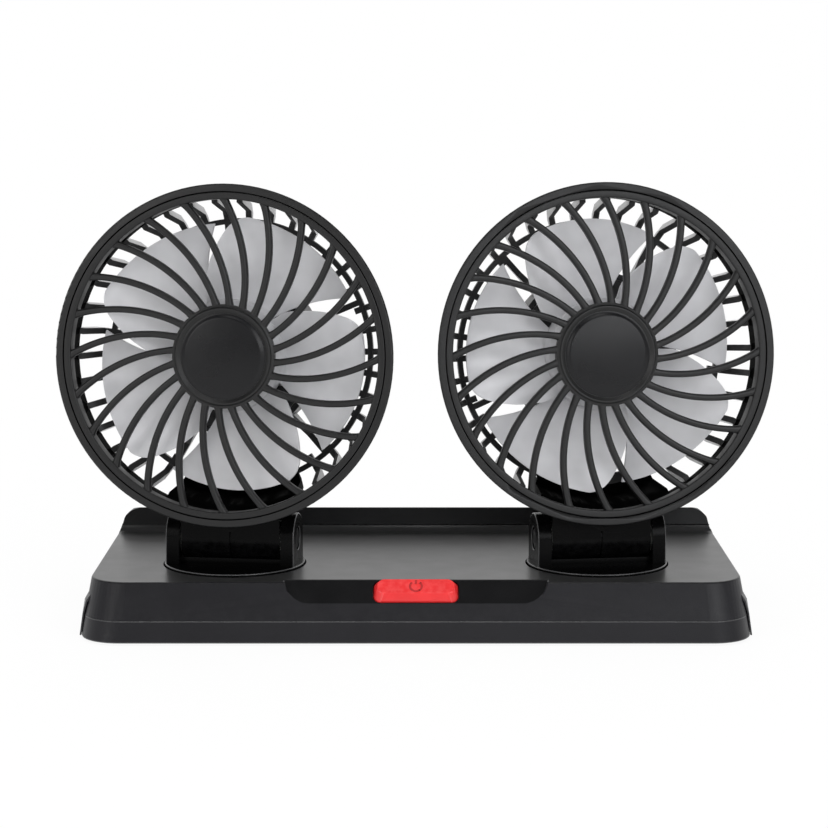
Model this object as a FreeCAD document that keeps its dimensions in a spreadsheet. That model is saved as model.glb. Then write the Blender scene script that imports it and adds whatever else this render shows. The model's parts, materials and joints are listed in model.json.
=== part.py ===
import FreeCAD, Part
import math
import os
import re
import Sketcher

Vector = FreeCAD.Vector

# Driving dimensions, in millimetres and degrees. X runs along the base, -Y is the front, Z is up,
# and the origin is the middle of the face that the base stands on.
SIZES = {
    # base casing
    "base_width": 241.6,
    "base_depth": 113.0,
    "base_corner": 15.0,
    "top_corner": 13.5,
    "pan_flare": 1.2,
    "cover_wall": 2.4,
    "parting_height": 8.9,
    "deck_height": 21.8,
    "wall_top_height": 30.8,
    "front_slope": 5.8,
    "end_slope": 2.1,
    "wall_foot_y": 45.2,
    "wall_top_y": 48.6,
    "cove_radius": 4.5,
    "wall_crest": 0.8,
    "wall_fall": 2.5,
    "wall_end_round": 8.5,
    "wall_end_drop": 7.5,
    "base_floor": 2.4,
    # screws and posts that close the base
    "post_inset_x": 13.0,
    "post_inset_y": 13.0,
    "post_radius": 3.6,
    "pilot_radius": 1.5,
    "pilot_depth": 7.0,
    "cover_hole_radius": 1.7,
    "counterbore_radius": 3.1,
    "counterbore_depth": 3.2,
    "screw_head_radius": 2.8,
    "screw_head_height": 1.8,
    "screw_shank_radius": 1.45,
    "screw_tip_gap": 0.8,
    # pad under the base
    "pad_width": 186.0,
    "pad_depth": 78.0,
    "pad_corner": 6.0,
    "pad_thickness": 0.8,
    # trims on the two ends
    "trim_length": 90.0,
    "trim_bottom": 0.9,
    "trim_top": 16.2,
    "trim_closed": 2.6,
    "trim_crown": 1.2,
    "trim_gap": 0.4,
    "trim_thickness": 0.9,
    "trim_inset": 5.0,
    # recess and button on the front edge
    "recess_length": 96.0,
    "recess_draw_in": 1.0,
    "recess_setback": 4.8,
    "recess_tilt": 42.0,
    "recess_corner": 9.0,
    "recess_reach": 10.6,
    "recess_backing": 2.4,
    "backing_inset": 1.0,
    "backing_corner": 0.5,
    "button_length": 30.4,
    "button_height": 9.0,
    "button_drop": 5.4,
    "button_corner": 2.7,
    "button_rise": 2.2,
    "button_side_bevel": 1.3,
    "button_top_bevel": 0.5,
    "button_low_bevel": 2.6,
    "button_gap": 0.35,
    "button_flange": 1.3,
    "button_flange_thickness": 1.4,
    "button_flange_gap": 0.3,
    "button_stem_radius": 2.0,
    "button_stem": 2.0,
    # switch and board behind the button
    "plunger_radius": 1.6,
    "plunger_length": 2.2,
    "plunger_show": 1.3,
    "plunger_clearance": 0.1,
    "plunger_room": 1.5,
    "switch_side": 6.2,
    "switch_height": 4.0,
    "board_length": 46.0,
    "board_height": 11.6,
    "board_thickness": 1.6,
    "board_post_x": 20.2,
    "board_post_radius": 2.6,
    "board_screw_radius": 1.0,
    "board_hole_gap": 0.15,
    "board_screw_depth": 4.0,
    "board_screw_head": 2.0,
    "board_screw_head_height": 1.2,
    # cable gland in the back wall
    "gland_height": 14.0,
    "gland_bore": 2.1,
    "gland_neck": 3.4,
    "gland_flange": 4.6,
    "gland_flange_thickness": 1.4,
    # turntables
    "swivel_spacing": 135.8,
    "swivel_y": -15.6,
    "disc_radius": 26.3,
    "disc_gap": 0.5,
    "disc_rise": 0.9,
    "well_depth": 3.6,
    "well_floor": 2.4,
    "swivel_washer_thickness": 0.4,
    "swivel_washer_inner": 10.0,
    "swivel_washer_outer": 24.0,
    "pivot_radius": 9.0,
    "pivot_clearance": 0.06,
    "pivot_bore": 4.6,
    "swivel_play": 0.3,
    "retainer_radius": 14.0,
    "retainer_thickness": 2.0,
    "swivel_screw_circle": 6.8,
    "swivel_screw_radius": 1.0,
    "swivel_hole_gap": 0.1,
    "swivel_screw_depth": 5.0,
    "swivel_screw_head": 1.9,
    "swivel_screw_head_height": 1.2,
    # ears and tilt pin
    "yoke_width": 48.4,
    "ear_thickness": 5.0,
    "ear_round": 9.5,
    "cradle_half": 5.0,
    "cradle_height": 1.7,
    "cradle_gap": 0.35,
    "tilt_height": 31.8,
    "pin_radius": 2.0,
    "pin_clearance": 0.05,
    "pin_head_radius": 3.8,
    "pin_head_height": 2.2,
    "pin_head_gap": 0.3,
    "pin_head_sink": 2.6,
    "nut_circle": 4.0,
    "nut_height": 2.2,
    "tilt_washer_thickness": 0.5,
    "tilt_washer_radius": 6.5,
    "tilt_play": 0.1,
    "barrel_radius": 8.4,
    "seam_width": 0.5,
    "seam_depth": 0.4,
    # rear guard of a head
    "head_rise": 68.5,
    "front_reach": 22.0,
    "ring_radius": 62.9,
    "rim_lip": 2.9,
    "rim_round": 0.7,
    "rim_wall": 5.3,
    "rim_back_radius": 59.5,
    "rim_depth": 14.0,
    "seat_depth": 5.5,
    "basket_depth": 33.0,
    "basket_back_radius": 56.0,
    "basket_bevel": 3.5,
    "rib_depth": 2.8,
    "rib_width": 2.3,
    "rib_root": 1.5,
    "rib_inset": 0.5,
    "rib_count": 38,
    "rib_turn": 3.4,
    "back_ring_radius": 49.5,
    "back_ring_bar": 2.0,
    "rib_stub": 2.2,
    "saddle_angle": 48.0,
    "arm_count": 5,
    "left_arms": 23.5,
    "right_arms": 59.5,
    "arm_width": 2.2,
    "arm_gusset": 8.0,
    "cup_radius": 31.0,
    "cup_wall": 2.0,
    "cup_floor": 2.2,
    "cup_depth": 14.0,
    "cup_stand": 2.0,
    # motor in the cup
    "motor_radius": 17.5,
    "motor_length": 10.0,
    "motor_screw_circle": 19.8,
    "motor_post_radius": 2.0,
    "motor_screw_radius": 0.9,
    "motor_hole_gap": 0.1,
    "motor_screw_head": 1.8,
    "motor_screw_head_height": 0.8,
    "motor_screw_depth": 5.0,
    "motor_tip_gap": 0.5,
    "holder_gap": 0.3,
    "holder_thickness": 1.8,
    "bush_radius": 4.0,
    "bush_gap": 0.1,
    "bush_stand": 1.0,
    "shaft_radius": 1.5,
    "shaft_clearance": 0.05,
    "shaft_in_motor": 6.0,
    "shaft_end_room": 0.6,
    # front guard
    "guard_gap": 0.35,
    "guard_ring_width": 2.6,
    "spoke_count": 24,
    "spoke_width": 2.4,
    "spoke_depth": 2.6,
    "spoke_setback": 0.5,
    "spoke_sweep": 21.0,
    "spoke_root": 1.0,
    "guard_hub_radius": 19.2,
    "guard_hub_depth": 4.0,
    "guard_hub_proud": 0.4,
    "guard_hub_bevel": 1.2,
    "guard_lip_radius": 17.4,
    "cap_radius": 15.5,
    "cap_gap": 0.4,
    "cap_seat": 1.6,
    "cap_dome": 0.9,
    "cap_crown_radius": 9.3,
    "cap_crown": 0.6,
    "cap_edge": 1.2,
    # fan rotor
    "blade_count": 5,
    "blade_tip_radius": 51.2,
    "blade_tip_fall": 2.4,
    "blade_span": 60.0,
    "blade_root_lag": 16.0,
    "blade_root_lead": 29.0,
    "blade_corner_angle": 5.0,
    "blade_corner_reach": 5.0,
    "blade_front": 6.5,
    "blade_pitch_depth": 10.3,
    "blade_bow": 1.6,
    "blade_thickness": 1.4,
    "blade_root_sink": 1.0,
    "rotor_hub_radius": 20.5,
    "rotor_hub_wall": 1.8,
    "rotor_hub_front": 4.6,
    "rotor_hub_depth": 14.4,
    "rotor_boss_radius": 4.2,
    "rotor_boss_inset": 0.4,
    "rotor_bore_end": 2.5,
    # how the heads stand
    "left_turn": -7.9,
    "left_lean": 4.0,
    "right_turn": 8.3,
    "right_lean": 6.0,
    "left_blades": 56.0,
    "right_blades": 22.0,
}

# A half-round end is drawn as two corner arcs that stop just short of meeting.
HALF_ROUND = 0.999
# Cutters run this far past the faces they open, in millimetres.
OVERRUN = 1.0
SPOKE_STEPS = 6
THREE_ROUND = ["90", "210", "330"]

doc = FreeCAD.newDocument("dual_head_car_fan")
sheet = doc.addObject("Spreadsheet::Sheet", "sizes")
for row, (alias, number) in enumerate(SIZES.items(), start=1):
    sheet.set(f"A{row}", alias)
    sheet.set(f"B{row}", str(number))
    sheet.setAlias(f"B{row}", alias)
doc.recompute()

nodes = []


def bound(text):
    """An expression in which every size name points at the sheet."""
    return re.sub(r"[a-z_][a-z0-9_]*", lambda m: f"sizes.{m[0]}" if m[0] in SIZES else m[0], text)


def value(text):
    return float(sheet.evalExpression(bound(text)))


def bind(thing, **expressions):
    for name, text in expressions.items():
        thing.setExpression(name, bound(text))
    return thing


def node(thing, label):
    thing.Label = label
    nodes.append(thing)
    return thing


def new_body(name):
    body = doc.addObject("PartDesign::Body", name)
    body.AllowCompound = True
    return body


def origin_part(body, role):
    return next(part for part in body.Origin.OriginFeatures if part.Role == role)


def new_sketch(body, name, plane="XY_Plane", lift=None, frame=None):
    """A sketch on one of the body's own planes, lifted along its normal or moved to a frame."""
    sketch = body.newObject("Sketcher::SketchObject", name)
    sketch.AttachmentSupport = [(origin_part(body, plane), "")]
    sketch.MapMode = "FlatFace"
    if lift:
        sketch.setExpression("AttachmentOffset.Base.z", bound(lift))
    if frame:
        sketch.setExpression("AttachmentOffset", bound(frame))
    return sketch


def pin_point(sketch, geometry, end, x, y):
    """Hold one point of a sketch at two expressions."""
    for kind, text in (("DistanceX", x), ("DistanceY", y)):
        if abs(value(text)) < 1e-9:
            line = -2 if kind == "DistanceX" else -1
            sketch.addConstraint(Sketcher.Constraint("PointOnObject", geometry, end, line))
            continue
        held = Sketcher.Constraint(kind, -1, 1, geometry, end, value(text))
        name = f"{kind}_{geometry}_{end}"
        sketch.renameConstraint(sketch.addConstraint(held), name)
        sketch.setExpression(f"Constraints.{name}", bound(text))


def round_corner(before, at, after, radius):
    """Tangent points and middle of the arc that rounds a corner."""
    back = (before - at).normalize()
    ahead = (after - at).normalize()
    half = back.getAngle(ahead) / 2
    reach = radius / math.tan(half)
    middle_way = (back + ahead).normalize()
    centre = at + middle_way * (reach ** 2 + radius ** 2) ** 0.5
    return at + back * reach, centre - middle_way * radius, at + ahead * reach


def outline(sketch, corners):
    """A closed outline of lines through corners (x, y), each rounded if it has a radius."""
    points = [Vector(value(c[0]), value(c[1]), 0) for c in corners]
    count = len(corners)
    starts, ends, rounds = [], [], {}
    for i, corner in enumerate(corners):
        if len(corner) == 3:
            rounds[i] = round_corner(points[i - 1], points[i], points[(i + 1) % count], value(corner[2]))
        ends.append(rounds[i][0] if i in rounds else points[i])
        starts.append(rounds[i][2] if i in rounds else points[i])
    lines = []
    for i in range(count):
        lines.append(sketch.addGeometry(Part.LineSegment(starts[i], ends[(i + 1) % count])))
    for i, corner in enumerate(corners):
        before, after = lines[i - 1], lines[i]
        if i not in rounds:
            sketch.addConstraint(Sketcher.Constraint("Coincident", before, 2, after, 1))
            pin_point(sketch, after, 1, corner[0], corner[1])
            continue
        turn = (points[i] - points[i - 1]).cross(points[(i + 1) % count] - points[i]).z
        near = 1 if turn > 0 else 2
        arc = sketch.addGeometry(Part.Arc(*(rounds[i] if turn > 0 else rounds[i][::-1])))
        sharp = sketch.addGeometry(Part.Point(points[i]), True)
        pin_point(sketch, sharp, 1, corner[0], corner[1])
        for line in (before, after):
            sketch.addConstraint(Sketcher.Constraint("PointOnObject", sharp, 1, line))
        sketch.addConstraint(Sketcher.Constraint("Tangent", before, 2, arc, near))
        sketch.addConstraint(Sketcher.Constraint("Tangent", after, 1, arc, 3 - near))
        name = f"corner_{i}"
        held = Sketcher.Constraint("Radius", arc, value(corner[2]))
        sketch.renameConstraint(sketch.addConstraint(held), name)
        sketch.setExpression(f"Constraints.{name}", bound(corner[2]))


def circle(sketch, x, y, radius):
    made = sketch.addGeometry(Part.Circle(Vector(value(x), value(y), 0), Vector(0, 0, 1), value(radius)))
    pin_point(sketch, made, 3, x, y)
    name = f"circle_{made}"
    sketch.renameConstraint(sketch.addConstraint(Sketcher.Constraint("Radius", made, value(radius))), name)
    sketch.setExpression(f"Constraints.{name}", bound(radius))


def rectangle(sketch, half_x, front, back, corner):
    """A rounded rectangle that is centred on the Y axis."""
    outline(sketch, [(f"-({half_x})", front, corner), (half_x, front, corner),
                     (half_x, back, corner), (f"-({half_x})", back, corner)])


def polar(radius, angle):
    return f"({radius}) * cos({angle})", f"({radius}) * sin({angle})"


def feature(body, kind, name, sketch, both=False, reverse=False, through=False, **expressions):
    made = body.newObject(f"PartDesign::{kind}", name)
    made.Profile = sketch
    if kind in ("Pad", "Pocket"):
        made.SideType = "Symmetric" if both else "One side"
        made.Type = "ThroughAll" if through else "Length"
    else:
        made.ReferenceAxis = (origin_part(body, "Y_Axis"), [""])
        made.Midplane = both
        made.Angle = 360
    made.Reversed = reverse
    bind(made, **expressions)
    sketch.Visibility = False
    return made


def polar_pattern(body, name, originals, count):
    made = body.newObject("PartDesign::PolarPattern", name)
    made.Originals = originals
    made.Axis = (origin_part(body, "Y_Axis"), [""])
    made.Angle = 360
    made.setExpression("Occurrences", bound(count))
    body.Tip = made
    return made


def loft(body, kind, name, first, second):
    made = body.newObject(f"PartDesign::{kind}Loft", name)
    made.Profile = first
    made.Sections = [second]
    made.Ruled = True
    return made


def at(x="0", y="0", z="0", axis="0; 0; 1", angle="0"):
    return f"placement(vector({x}; {y}; {z}); rotation(vector({axis}); {angle}))"


def place(thing, **where):
    thing.setExpression("Placement", bound(at(**where)))
    return thing


def cylinder(name, radius, length, **where):
    made = doc.addObject("Part::Cylinder", name)
    return place(bind(made, Radius=radius, Height=length), **where)


def fuse(name, *shapes):
    made = doc.addObject("Part::MultiFuse", name)
    made.Shapes = list(shapes)
    return made


def cut(name, base, tool):
    made = doc.addObject("Part::Cut", name)
    made.Base = base
    made.Tool = tool
    return made


def copy_of(source, name, placement):
    """One more of the same piece, held at a placement expression."""
    made = doc.addObject("Part::Compound", name)
    made.Links = [source]
    made.setExpression("Placement", bound(placement))
    return made


def group(name, pieces):
    made = doc.addObject("Part::Compound", name)
    made.Links = pieces
    return made


# Heights and faces that several pieces share
half_width = "base_width / 2"
half_depth = "base_depth / 2"
climb = "(deck_height - parting_height)"
full_climb = "(wall_top_height - parting_height)"
well_floor_top = "deck_height - well_depth"
well_bottom = "deck_height - well_depth - well_floor"
recess_frame = at(y="front_slope - base_depth / 2 + recess_setback", z="deck_height",
                  axis="1; 0; 0", angle="recess_tilt")
switch_top = "-(recess_backing + button_flange_gap + button_flange_thickness + button_stem + plunger_show)"
board_top = f"{switch_top} - switch_height"
board_bottom = f"{board_top} - board_thickness"
corner_posts = [(f"{sx} * ({half_width} - post_inset_x)", f"{sy} * ({half_depth} - post_inset_y)")
                for sx in (-1, 1) for sy in (-1, 1)]


def base_top_cover():
    body = new_body("base_top_cover")
    low = new_sketch(body, "cover_low", lift="parting_height")
    rectangle(low, half_width, f"-({half_depth})", half_depth, "base_corner")
    high = new_sketch(body, "cover_high", lift="wall_top_height")
    rectangle(high, f"{half_width} - end_slope * {full_climb} / {climb}",
              f"front_slope * {full_climb} / {climb} - {half_depth}", half_depth, "top_corner")
    loft(body, "Additive", "cover_block", low, high)

    scoop = new_sketch(body, "deck_scoop", "YZ_Plane")
    outline(scoop, [("-base_depth", "deck_height"), ("wall_foot_y", "deck_height", "cove_radius"),
                    ("2 * wall_top_y - wall_foot_y", "2 * wall_top_height - deck_height"),
                    ("-base_depth", "2 * wall_top_height - deck_height")])
    feature(body, "Pocket", "deck", scoop, both=True, through=True)
    crest = new_sketch(body, "wall_crest_fall", "YZ_Plane")
    behind = f"{half_depth} + {OVERRUN}"
    outline(crest, [("wall_top_y + wall_crest", "wall_top_height"), (behind, "wall_top_height - wall_fall"),
                    (behind, f"wall_top_height + {OVERRUN}"),
                    ("wall_top_y + wall_crest", f"wall_top_height + {OVERRUN}")])
    feature(body, "Pocket", "wall_crest_cut", crest, both=True, through=True)

    top_end = f"({half_width} - end_slope * {full_climb} / {climb})"
    side_end = f"({half_width} - end_slope * ({full_climb} - wall_end_drop) / {climb})"
    for side in ("", "-"):
        ends = new_sketch(body, "wall_end", "XZ_Plane")
        outline(ends, [(f"{side}({top_end} - 2 * wall_end_round)", "wall_top_height"),
                       (f"{side}{top_end}", "wall_top_height", "wall_end_round"),
                       (f"{side}{side_end}", "wall_top_height - wall_end_drop"),
                       (f"{side}({side_end} + wall_end_round)", "wall_top_height - wall_end_drop"),
                       (f"{side}({side_end} + wall_end_round)", "wall_top_height + wall_end_round"),
                       (f"{side}({top_end} - 2 * wall_end_round)", "wall_top_height + wall_end_round")])
        feature(body, "Pocket", "wall_end_cut", ends, both=True, through=True)

    ceiling = f"({climb} - cover_wall) / {climb}"
    hollow_low = new_sketch(body, "hollow_low", lift="parting_height")
    rectangle(hollow_low, f"{half_width} - cover_wall", f"cover_wall - {half_depth}",
              f"{half_depth} - cover_wall", "base_corner - cover_wall")
    hollow_high = new_sketch(body, "hollow_high", lift="deck_height - cover_wall")
    rectangle(hollow_high, f"{half_width} - cover_wall - end_slope * {ceiling}",
              f"cover_wall + front_slope * {ceiling} - {half_depth}",
              f"{half_depth} - cover_wall", "top_corner - cover_wall")
    loft(body, "Subtractive", "hollow", hollow_low, hollow_high)

    core = new_sketch(body, "wall_core", lift="wall_top_height - wall_fall - cover_wall")
    core_end = f"({half_width} - end_slope * {full_climb} / {climb} - cover_wall - wall_end_round)"
    outline(core, [(f"-{core_end}", "wall_top_y + cover_wall"), (core_end, "wall_top_y + cover_wall"),
                   (core_end, f"{half_depth} - cover_wall"), (f"-{core_end}", f"{half_depth} - cover_wall")])
    feature(body, "Pocket", "wall_core_cut", core, Length="wall_top_height - deck_height")

    wells = new_sketch(body, "wells", lift=well_bottom)
    posts = new_sketch(body, "posts", lift="parting_height")
    for side in ("-", ""):
        circle(wells, f"{side}swivel_spacing / 2", "swivel_y", "disc_radius + disc_gap + cover_wall")
    for x, y in corner_posts:
        circle(posts, x, y, "post_radius")
    feature(body, "Pad", "well_walls", wells, Length="well_depth + well_floor - cover_wall / 2")
    feature(body, "Pad", "screw_posts", posts, Length=f"{climb} - cover_wall / 2")

    backing = new_sketch(body, "recess_back", frame=recess_frame)
    rectangle(backing, "recess_length / 2 + recess_backing", "-(recess_reach - backing_inset)", "0",
              "backing_corner")
    feature(body, "Pad", "recess_backing_pad", backing, reverse=True, Length="recess_backing")
    board_posts = new_sketch(body, "board_posts", frame=recess_frame)
    for side in ("-", ""):
        circle(board_posts, f"{side}board_post_x", "-button_drop", "board_post_radius")
    feature(body, "Pad", "board_post_pad", board_posts, reverse=True, Length=f"-({board_top})")

    recess = new_sketch(body, "recess", frame=recess_frame)
    outline(recess, [("-(recess_length / 2 - recess_draw_in)", "-recess_reach", "recess_corner"),
                     ("recess_length / 2 - recess_draw_in", "-recess_reach", "recess_corner"),
                     ("recess_length / 2", "recess_setback"), ("-recess_length / 2", "recess_setback")])
    feature(body, "Pocket", "recess_cut", recess, reverse=True, Length="recess_reach")
    mouth = new_sketch(body, "button_mouth", frame=recess_frame)
    rectangle(mouth, "button_length / 2 + button_gap", "-(button_drop + button_height / 2 + button_gap)",
              "-(button_drop - button_height / 2 - button_gap)", "button_corner")
    feature(body, "Pocket", "button_mouth_cut", mouth, Length="recess_backing + button_flange_thickness")
    board_pilots = new_sketch(body, "board_pilots", frame=f"{recess_frame} * {at(z=board_top)}")
    for side in ("-", ""):
        circle(board_pilots, f"{side}board_post_x", "-button_drop", "board_screw_radius + board_hole_gap")
    feature(body, "Pocket", "board_pilot_cut", board_pilots, reverse=True,
            Length="board_screw_depth + board_screw_radius")

    seats = new_sketch(body, "well_seats", lift="deck_height")
    bores = new_sketch(body, "pivot_bores", lift="deck_height")
    for side in ("-", ""):
        circle(seats, f"{side}swivel_spacing / 2", "swivel_y", "disc_radius + disc_gap")
        circle(bores, f"{side}swivel_spacing / 2", "swivel_y", "pivot_radius + pivot_clearance")
    feature(body, "Pocket", "well_seat_cut", seats, Length="well_depth")
    feature(body, "Pocket", "pivot_bore_cut", bores, Length="well_depth + 2 * well_floor")

    pilots = new_sketch(body, "post_pilots", lift="parting_height")
    for x, y in corner_posts:
        circle(pilots, x, y, "pilot_radius")
    feature(body, "Pocket", "post_pilot_cut", pilots, reverse=True, Length="pilot_depth")
    gland_hole = new_sketch(body, "gland_hole", "XZ_Plane", lift=f"-({half_depth} + cover_wall)")
    circle(gland_hole, "0", "gland_height", "gland_neck")
    body.Tip = feature(body, "Pocket", "gland_hole_cut", gland_hole, reverse=True, Length="3 * cover_wall")
    node(body, "base_top_cover")


def base_bottom_cover():
    body = new_body("base_bottom_cover")
    foot = new_sketch(body, "pan_foot", lift="pad_thickness")
    rectangle(foot, f"{half_width} + pan_flare", f"-({half_depth} + pan_flare)", half_depth, "base_corner")
    brim = new_sketch(body, "pan_brim", lift="parting_height")
    rectangle(brim, half_width, f"-({half_depth})", half_depth, "base_corner")
    loft(body, "Additive", "pan_block", foot, brim)
    inside = new_sketch(body, "pan_inside", lift="parting_height")
    rectangle(inside, f"{half_width} - cover_wall", f"cover_wall - {half_depth}",
              f"{half_depth} - cover_wall", "base_corner - cover_wall")
    feature(body, "Pocket", "pan_hollow", inside, Length="parting_height - pad_thickness - base_floor")
    posts = new_sketch(body, "pan_posts", lift="pad_thickness + base_floor / 2")
    holes = new_sketch(body, "pan_holes", lift="parting_height")
    sinks = new_sketch(body, "pan_sinks", lift="pad_thickness")
    for x, y in corner_posts:
        circle(posts, x, y, "counterbore_radius + cover_wall / 2")
        circle(holes, x, y, "cover_hole_radius")
        circle(sinks, x, y, "counterbore_radius")
    feature(body, "Pad", "pan_post_pad", posts, Length="parting_height - pad_thickness - base_floor / 2")
    feature(body, "Pocket", "pan_hole_cut", holes, Length="parting_height")
    body.Tip = feature(body, "Pocket", "pan_sink_cut", sinks, reverse=True, Length="counterbore_depth")
    node(body, "base_bottom_cover")


def cover_screws():
    seat = "pad_thickness + counterbore_depth"
    head = cylinder("cover_screw_head", "screw_head_radius", "screw_head_height",
                    z=f"{seat} - screw_head_height")
    shank = cylinder("cover_screw_shank", "screw_shank_radius",
                     f"parting_height + pilot_depth - screw_tip_gap - ({seat})", z=seat)
    screw = fuse("cover_screw", head, shank)
    node(group("cover_screw_group", [copy_of(screw, "cover_screw_copy", at(x, y)) for x, y in corner_posts]),
         "cover_screws")


def anti_slip_pad():
    body = new_body("anti_slip_pad")
    sheet_outline = new_sketch(body, "pad_outline")
    rectangle(sheet_outline, "pad_width / 2", "-pad_depth / 2", "pad_depth / 2", "pad_corner")
    body.Tip = feature(body, "Pad", "pad_sheet", sheet_outline, Length="pad_thickness")
    node(body, "anti_slip_pad")


def end_trims():
    """A strip on each end: it meets the wall at its top and stands a shadow gap clear below, on a backing."""
    body = new_body("end_trim")

    def wall(height, out):
        lean_in = f"end_slope * max(0; {height} - parting_height) / {climb}"
        flare = f"pan_flare * max(0; parting_height - ({height})) / (parting_height - pad_thickness)"
        return f"{half_width} - {lean_in} + {flare} + {out}", height

    face = "trim_gap + trim_thickness"
    slit_top = "trim_top - trim_closed"
    low = "trim_bottom + trim_inset"
    backing = new_sketch(body, "trim_backing", "XZ_Plane")
    outline(backing, [wall(low, "0"), wall(low, "trim_gap"), wall("parting_height", "trim_gap"),
                      wall(slit_top, "trim_gap"), wall(slit_top, "0"), wall("parting_height", "0")])
    feature(body, "Pad", "trim_backing_pad", backing, both=True, Length="trim_length - 2 * trim_inset")
    plate = new_sketch(body, "trim_plate", "XZ_Plane")
    outline(plate, [wall("trim_bottom", "trim_gap"), wall("trim_bottom", face), wall("parting_height", face),
                    wall("trim_top - trim_crown", face), wall("trim_top", "0"), wall(slit_top, "0"),
                    wall(slit_top, "trim_gap"), wall("parting_height", "trim_gap")])
    body.Tip = feature(body, "Pad", "trim_plate_pad", plate, both=True, Length="trim_length")
    node(copy_of(body, "right_trim", at()), "right_end_trim")
    node(copy_of(body, "left_trim", at(angle="180")), "left_end_trim")


def power_button():
    body = new_body("power_button")
    top = "button_height / 2 - button_drop"
    low = "-button_height / 2 - button_drop"
    foot = new_sketch(body, "button_foot")
    rectangle(foot, "button_length / 2", low, top, "button_corner")
    face = new_sketch(body, "button_face", lift="button_rise")
    rectangle(face, "button_length / 2 - button_side_bevel", f"{low} + button_low_bevel",
              f"{top} - button_top_bevel", "button_corner")
    loft(body, "Additive", "button_crown", foot, face)
    inside = new_sketch(body, "button_inside")
    rectangle(inside, "button_length / 2", low, top, "button_corner")
    feature(body, "Pad", "button_skirt", inside, reverse=True,
            Length="recess_backing + button_flange_gap + button_flange_thickness")
    flange = new_sketch(body, "button_flange_outline", lift="-(recess_backing + button_flange_gap)")
    rectangle(flange, "button_length / 2 + button_flange", f"{low} - button_flange / 2",
              f"{top} - button_gap", "button_corner")
    feature(body, "Pad", "button_flange_pad", flange, reverse=True, Length="button_flange_thickness")
    stem = new_sketch(body, "button_stem_outline",
                      lift="-(recess_backing + button_flange_gap + button_flange_thickness)")
    circle(stem, "0", "-button_drop", "button_stem_radius")
    body.Tip = feature(body, "Pad", "button_stem_pad", stem, reverse=True, Length="button_stem")
    body.setExpression("Placement", bound(recess_frame))
    node(body, "power_button")


def switch_and_board():
    centre = "-button_drop"
    plunger = cylinder("plunger", "plunger_radius", "plunger_length", y=centre,
                       z=f"{switch_top} + plunger_show - plunger_length")
    node(copy_of(plunger, "plunger_placed", recess_frame), "switch_plunger")

    case = doc.addObject("Part::Box", "switch_case")
    bind(case, Length="switch_side", Width="switch_side", Height="switch_height")
    place(case, x="-switch_side / 2", y=f"{centre} - switch_side / 2", z=board_top)
    room = "plunger_length - plunger_show + plunger_room"
    well = cylinder("switch_well", "plunger_radius + plunger_clearance", room,
                    y=centre, z=f"{switch_top} - ({room})")
    node(copy_of(cut("switch_body", case, well), "switch_placed", recess_frame), "push_switch")

    board = doc.addObject("Part::Box", "board_plate")
    bind(board, Length="board_length", Width="board_height", Height="board_thickness")
    place(board, x="-board_length / 2", y=f"{centre} - board_height / 2", z=board_bottom)
    holes, screws = [], []
    for side in ("-", ""):
        spot = {"x": f"{side}board_post_x", "y": centre}
        holes.append(cylinder("board_hole", "board_screw_radius + board_hole_gap", "board_thickness",
                              z=board_bottom, **spot))
        head = cylinder("board_screw_head", "board_screw_head", "board_screw_head_height",
                        z=f"{board_bottom} - board_screw_head_height", **spot)
        shank = cylinder("board_screw_shank", "board_screw_radius", "board_thickness + board_screw_depth",
                         z=board_bottom, **spot)
        screws.append(fuse("board_screw", head, shank))
    drilled = cut("board_drilled", board, fuse("board_holes", *holes))
    node(copy_of(drilled, "board_placed", recess_frame), "control_board")
    screw_group = group("board_screw_group", screws)
    screw_group.setExpression("Placement", bound(recess_frame))
    node(screw_group, "board_screws")


def cable_gland():
    """A moulded bush through the back wall, with a flange on each side of it."""
    out = f"{half_depth} + gland_flange_thickness"
    length = "cover_wall + 2 * gland_flange_thickness"
    facing = {"z": "gland_height", "axis": "1; 0; 0", "angle": "90"}
    neck = cylinder("gland_neck_tube", "gland_neck", length, y=out, **facing)
    outer = cylinder("gland_outer", "gland_flange", "gland_flange_thickness", y=out, **facing)
    inner = cylinder("gland_inner", "gland_flange", "gland_flange_thickness",
                     y=f"{half_depth} - cover_wall", **facing)
    bore = cylinder("gland_bore_hole", "gland_bore", length, y=out, **facing)
    node(cut("gland", fuse("gland_solid", neck, outer, inner), bore), "cable_gland")


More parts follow.
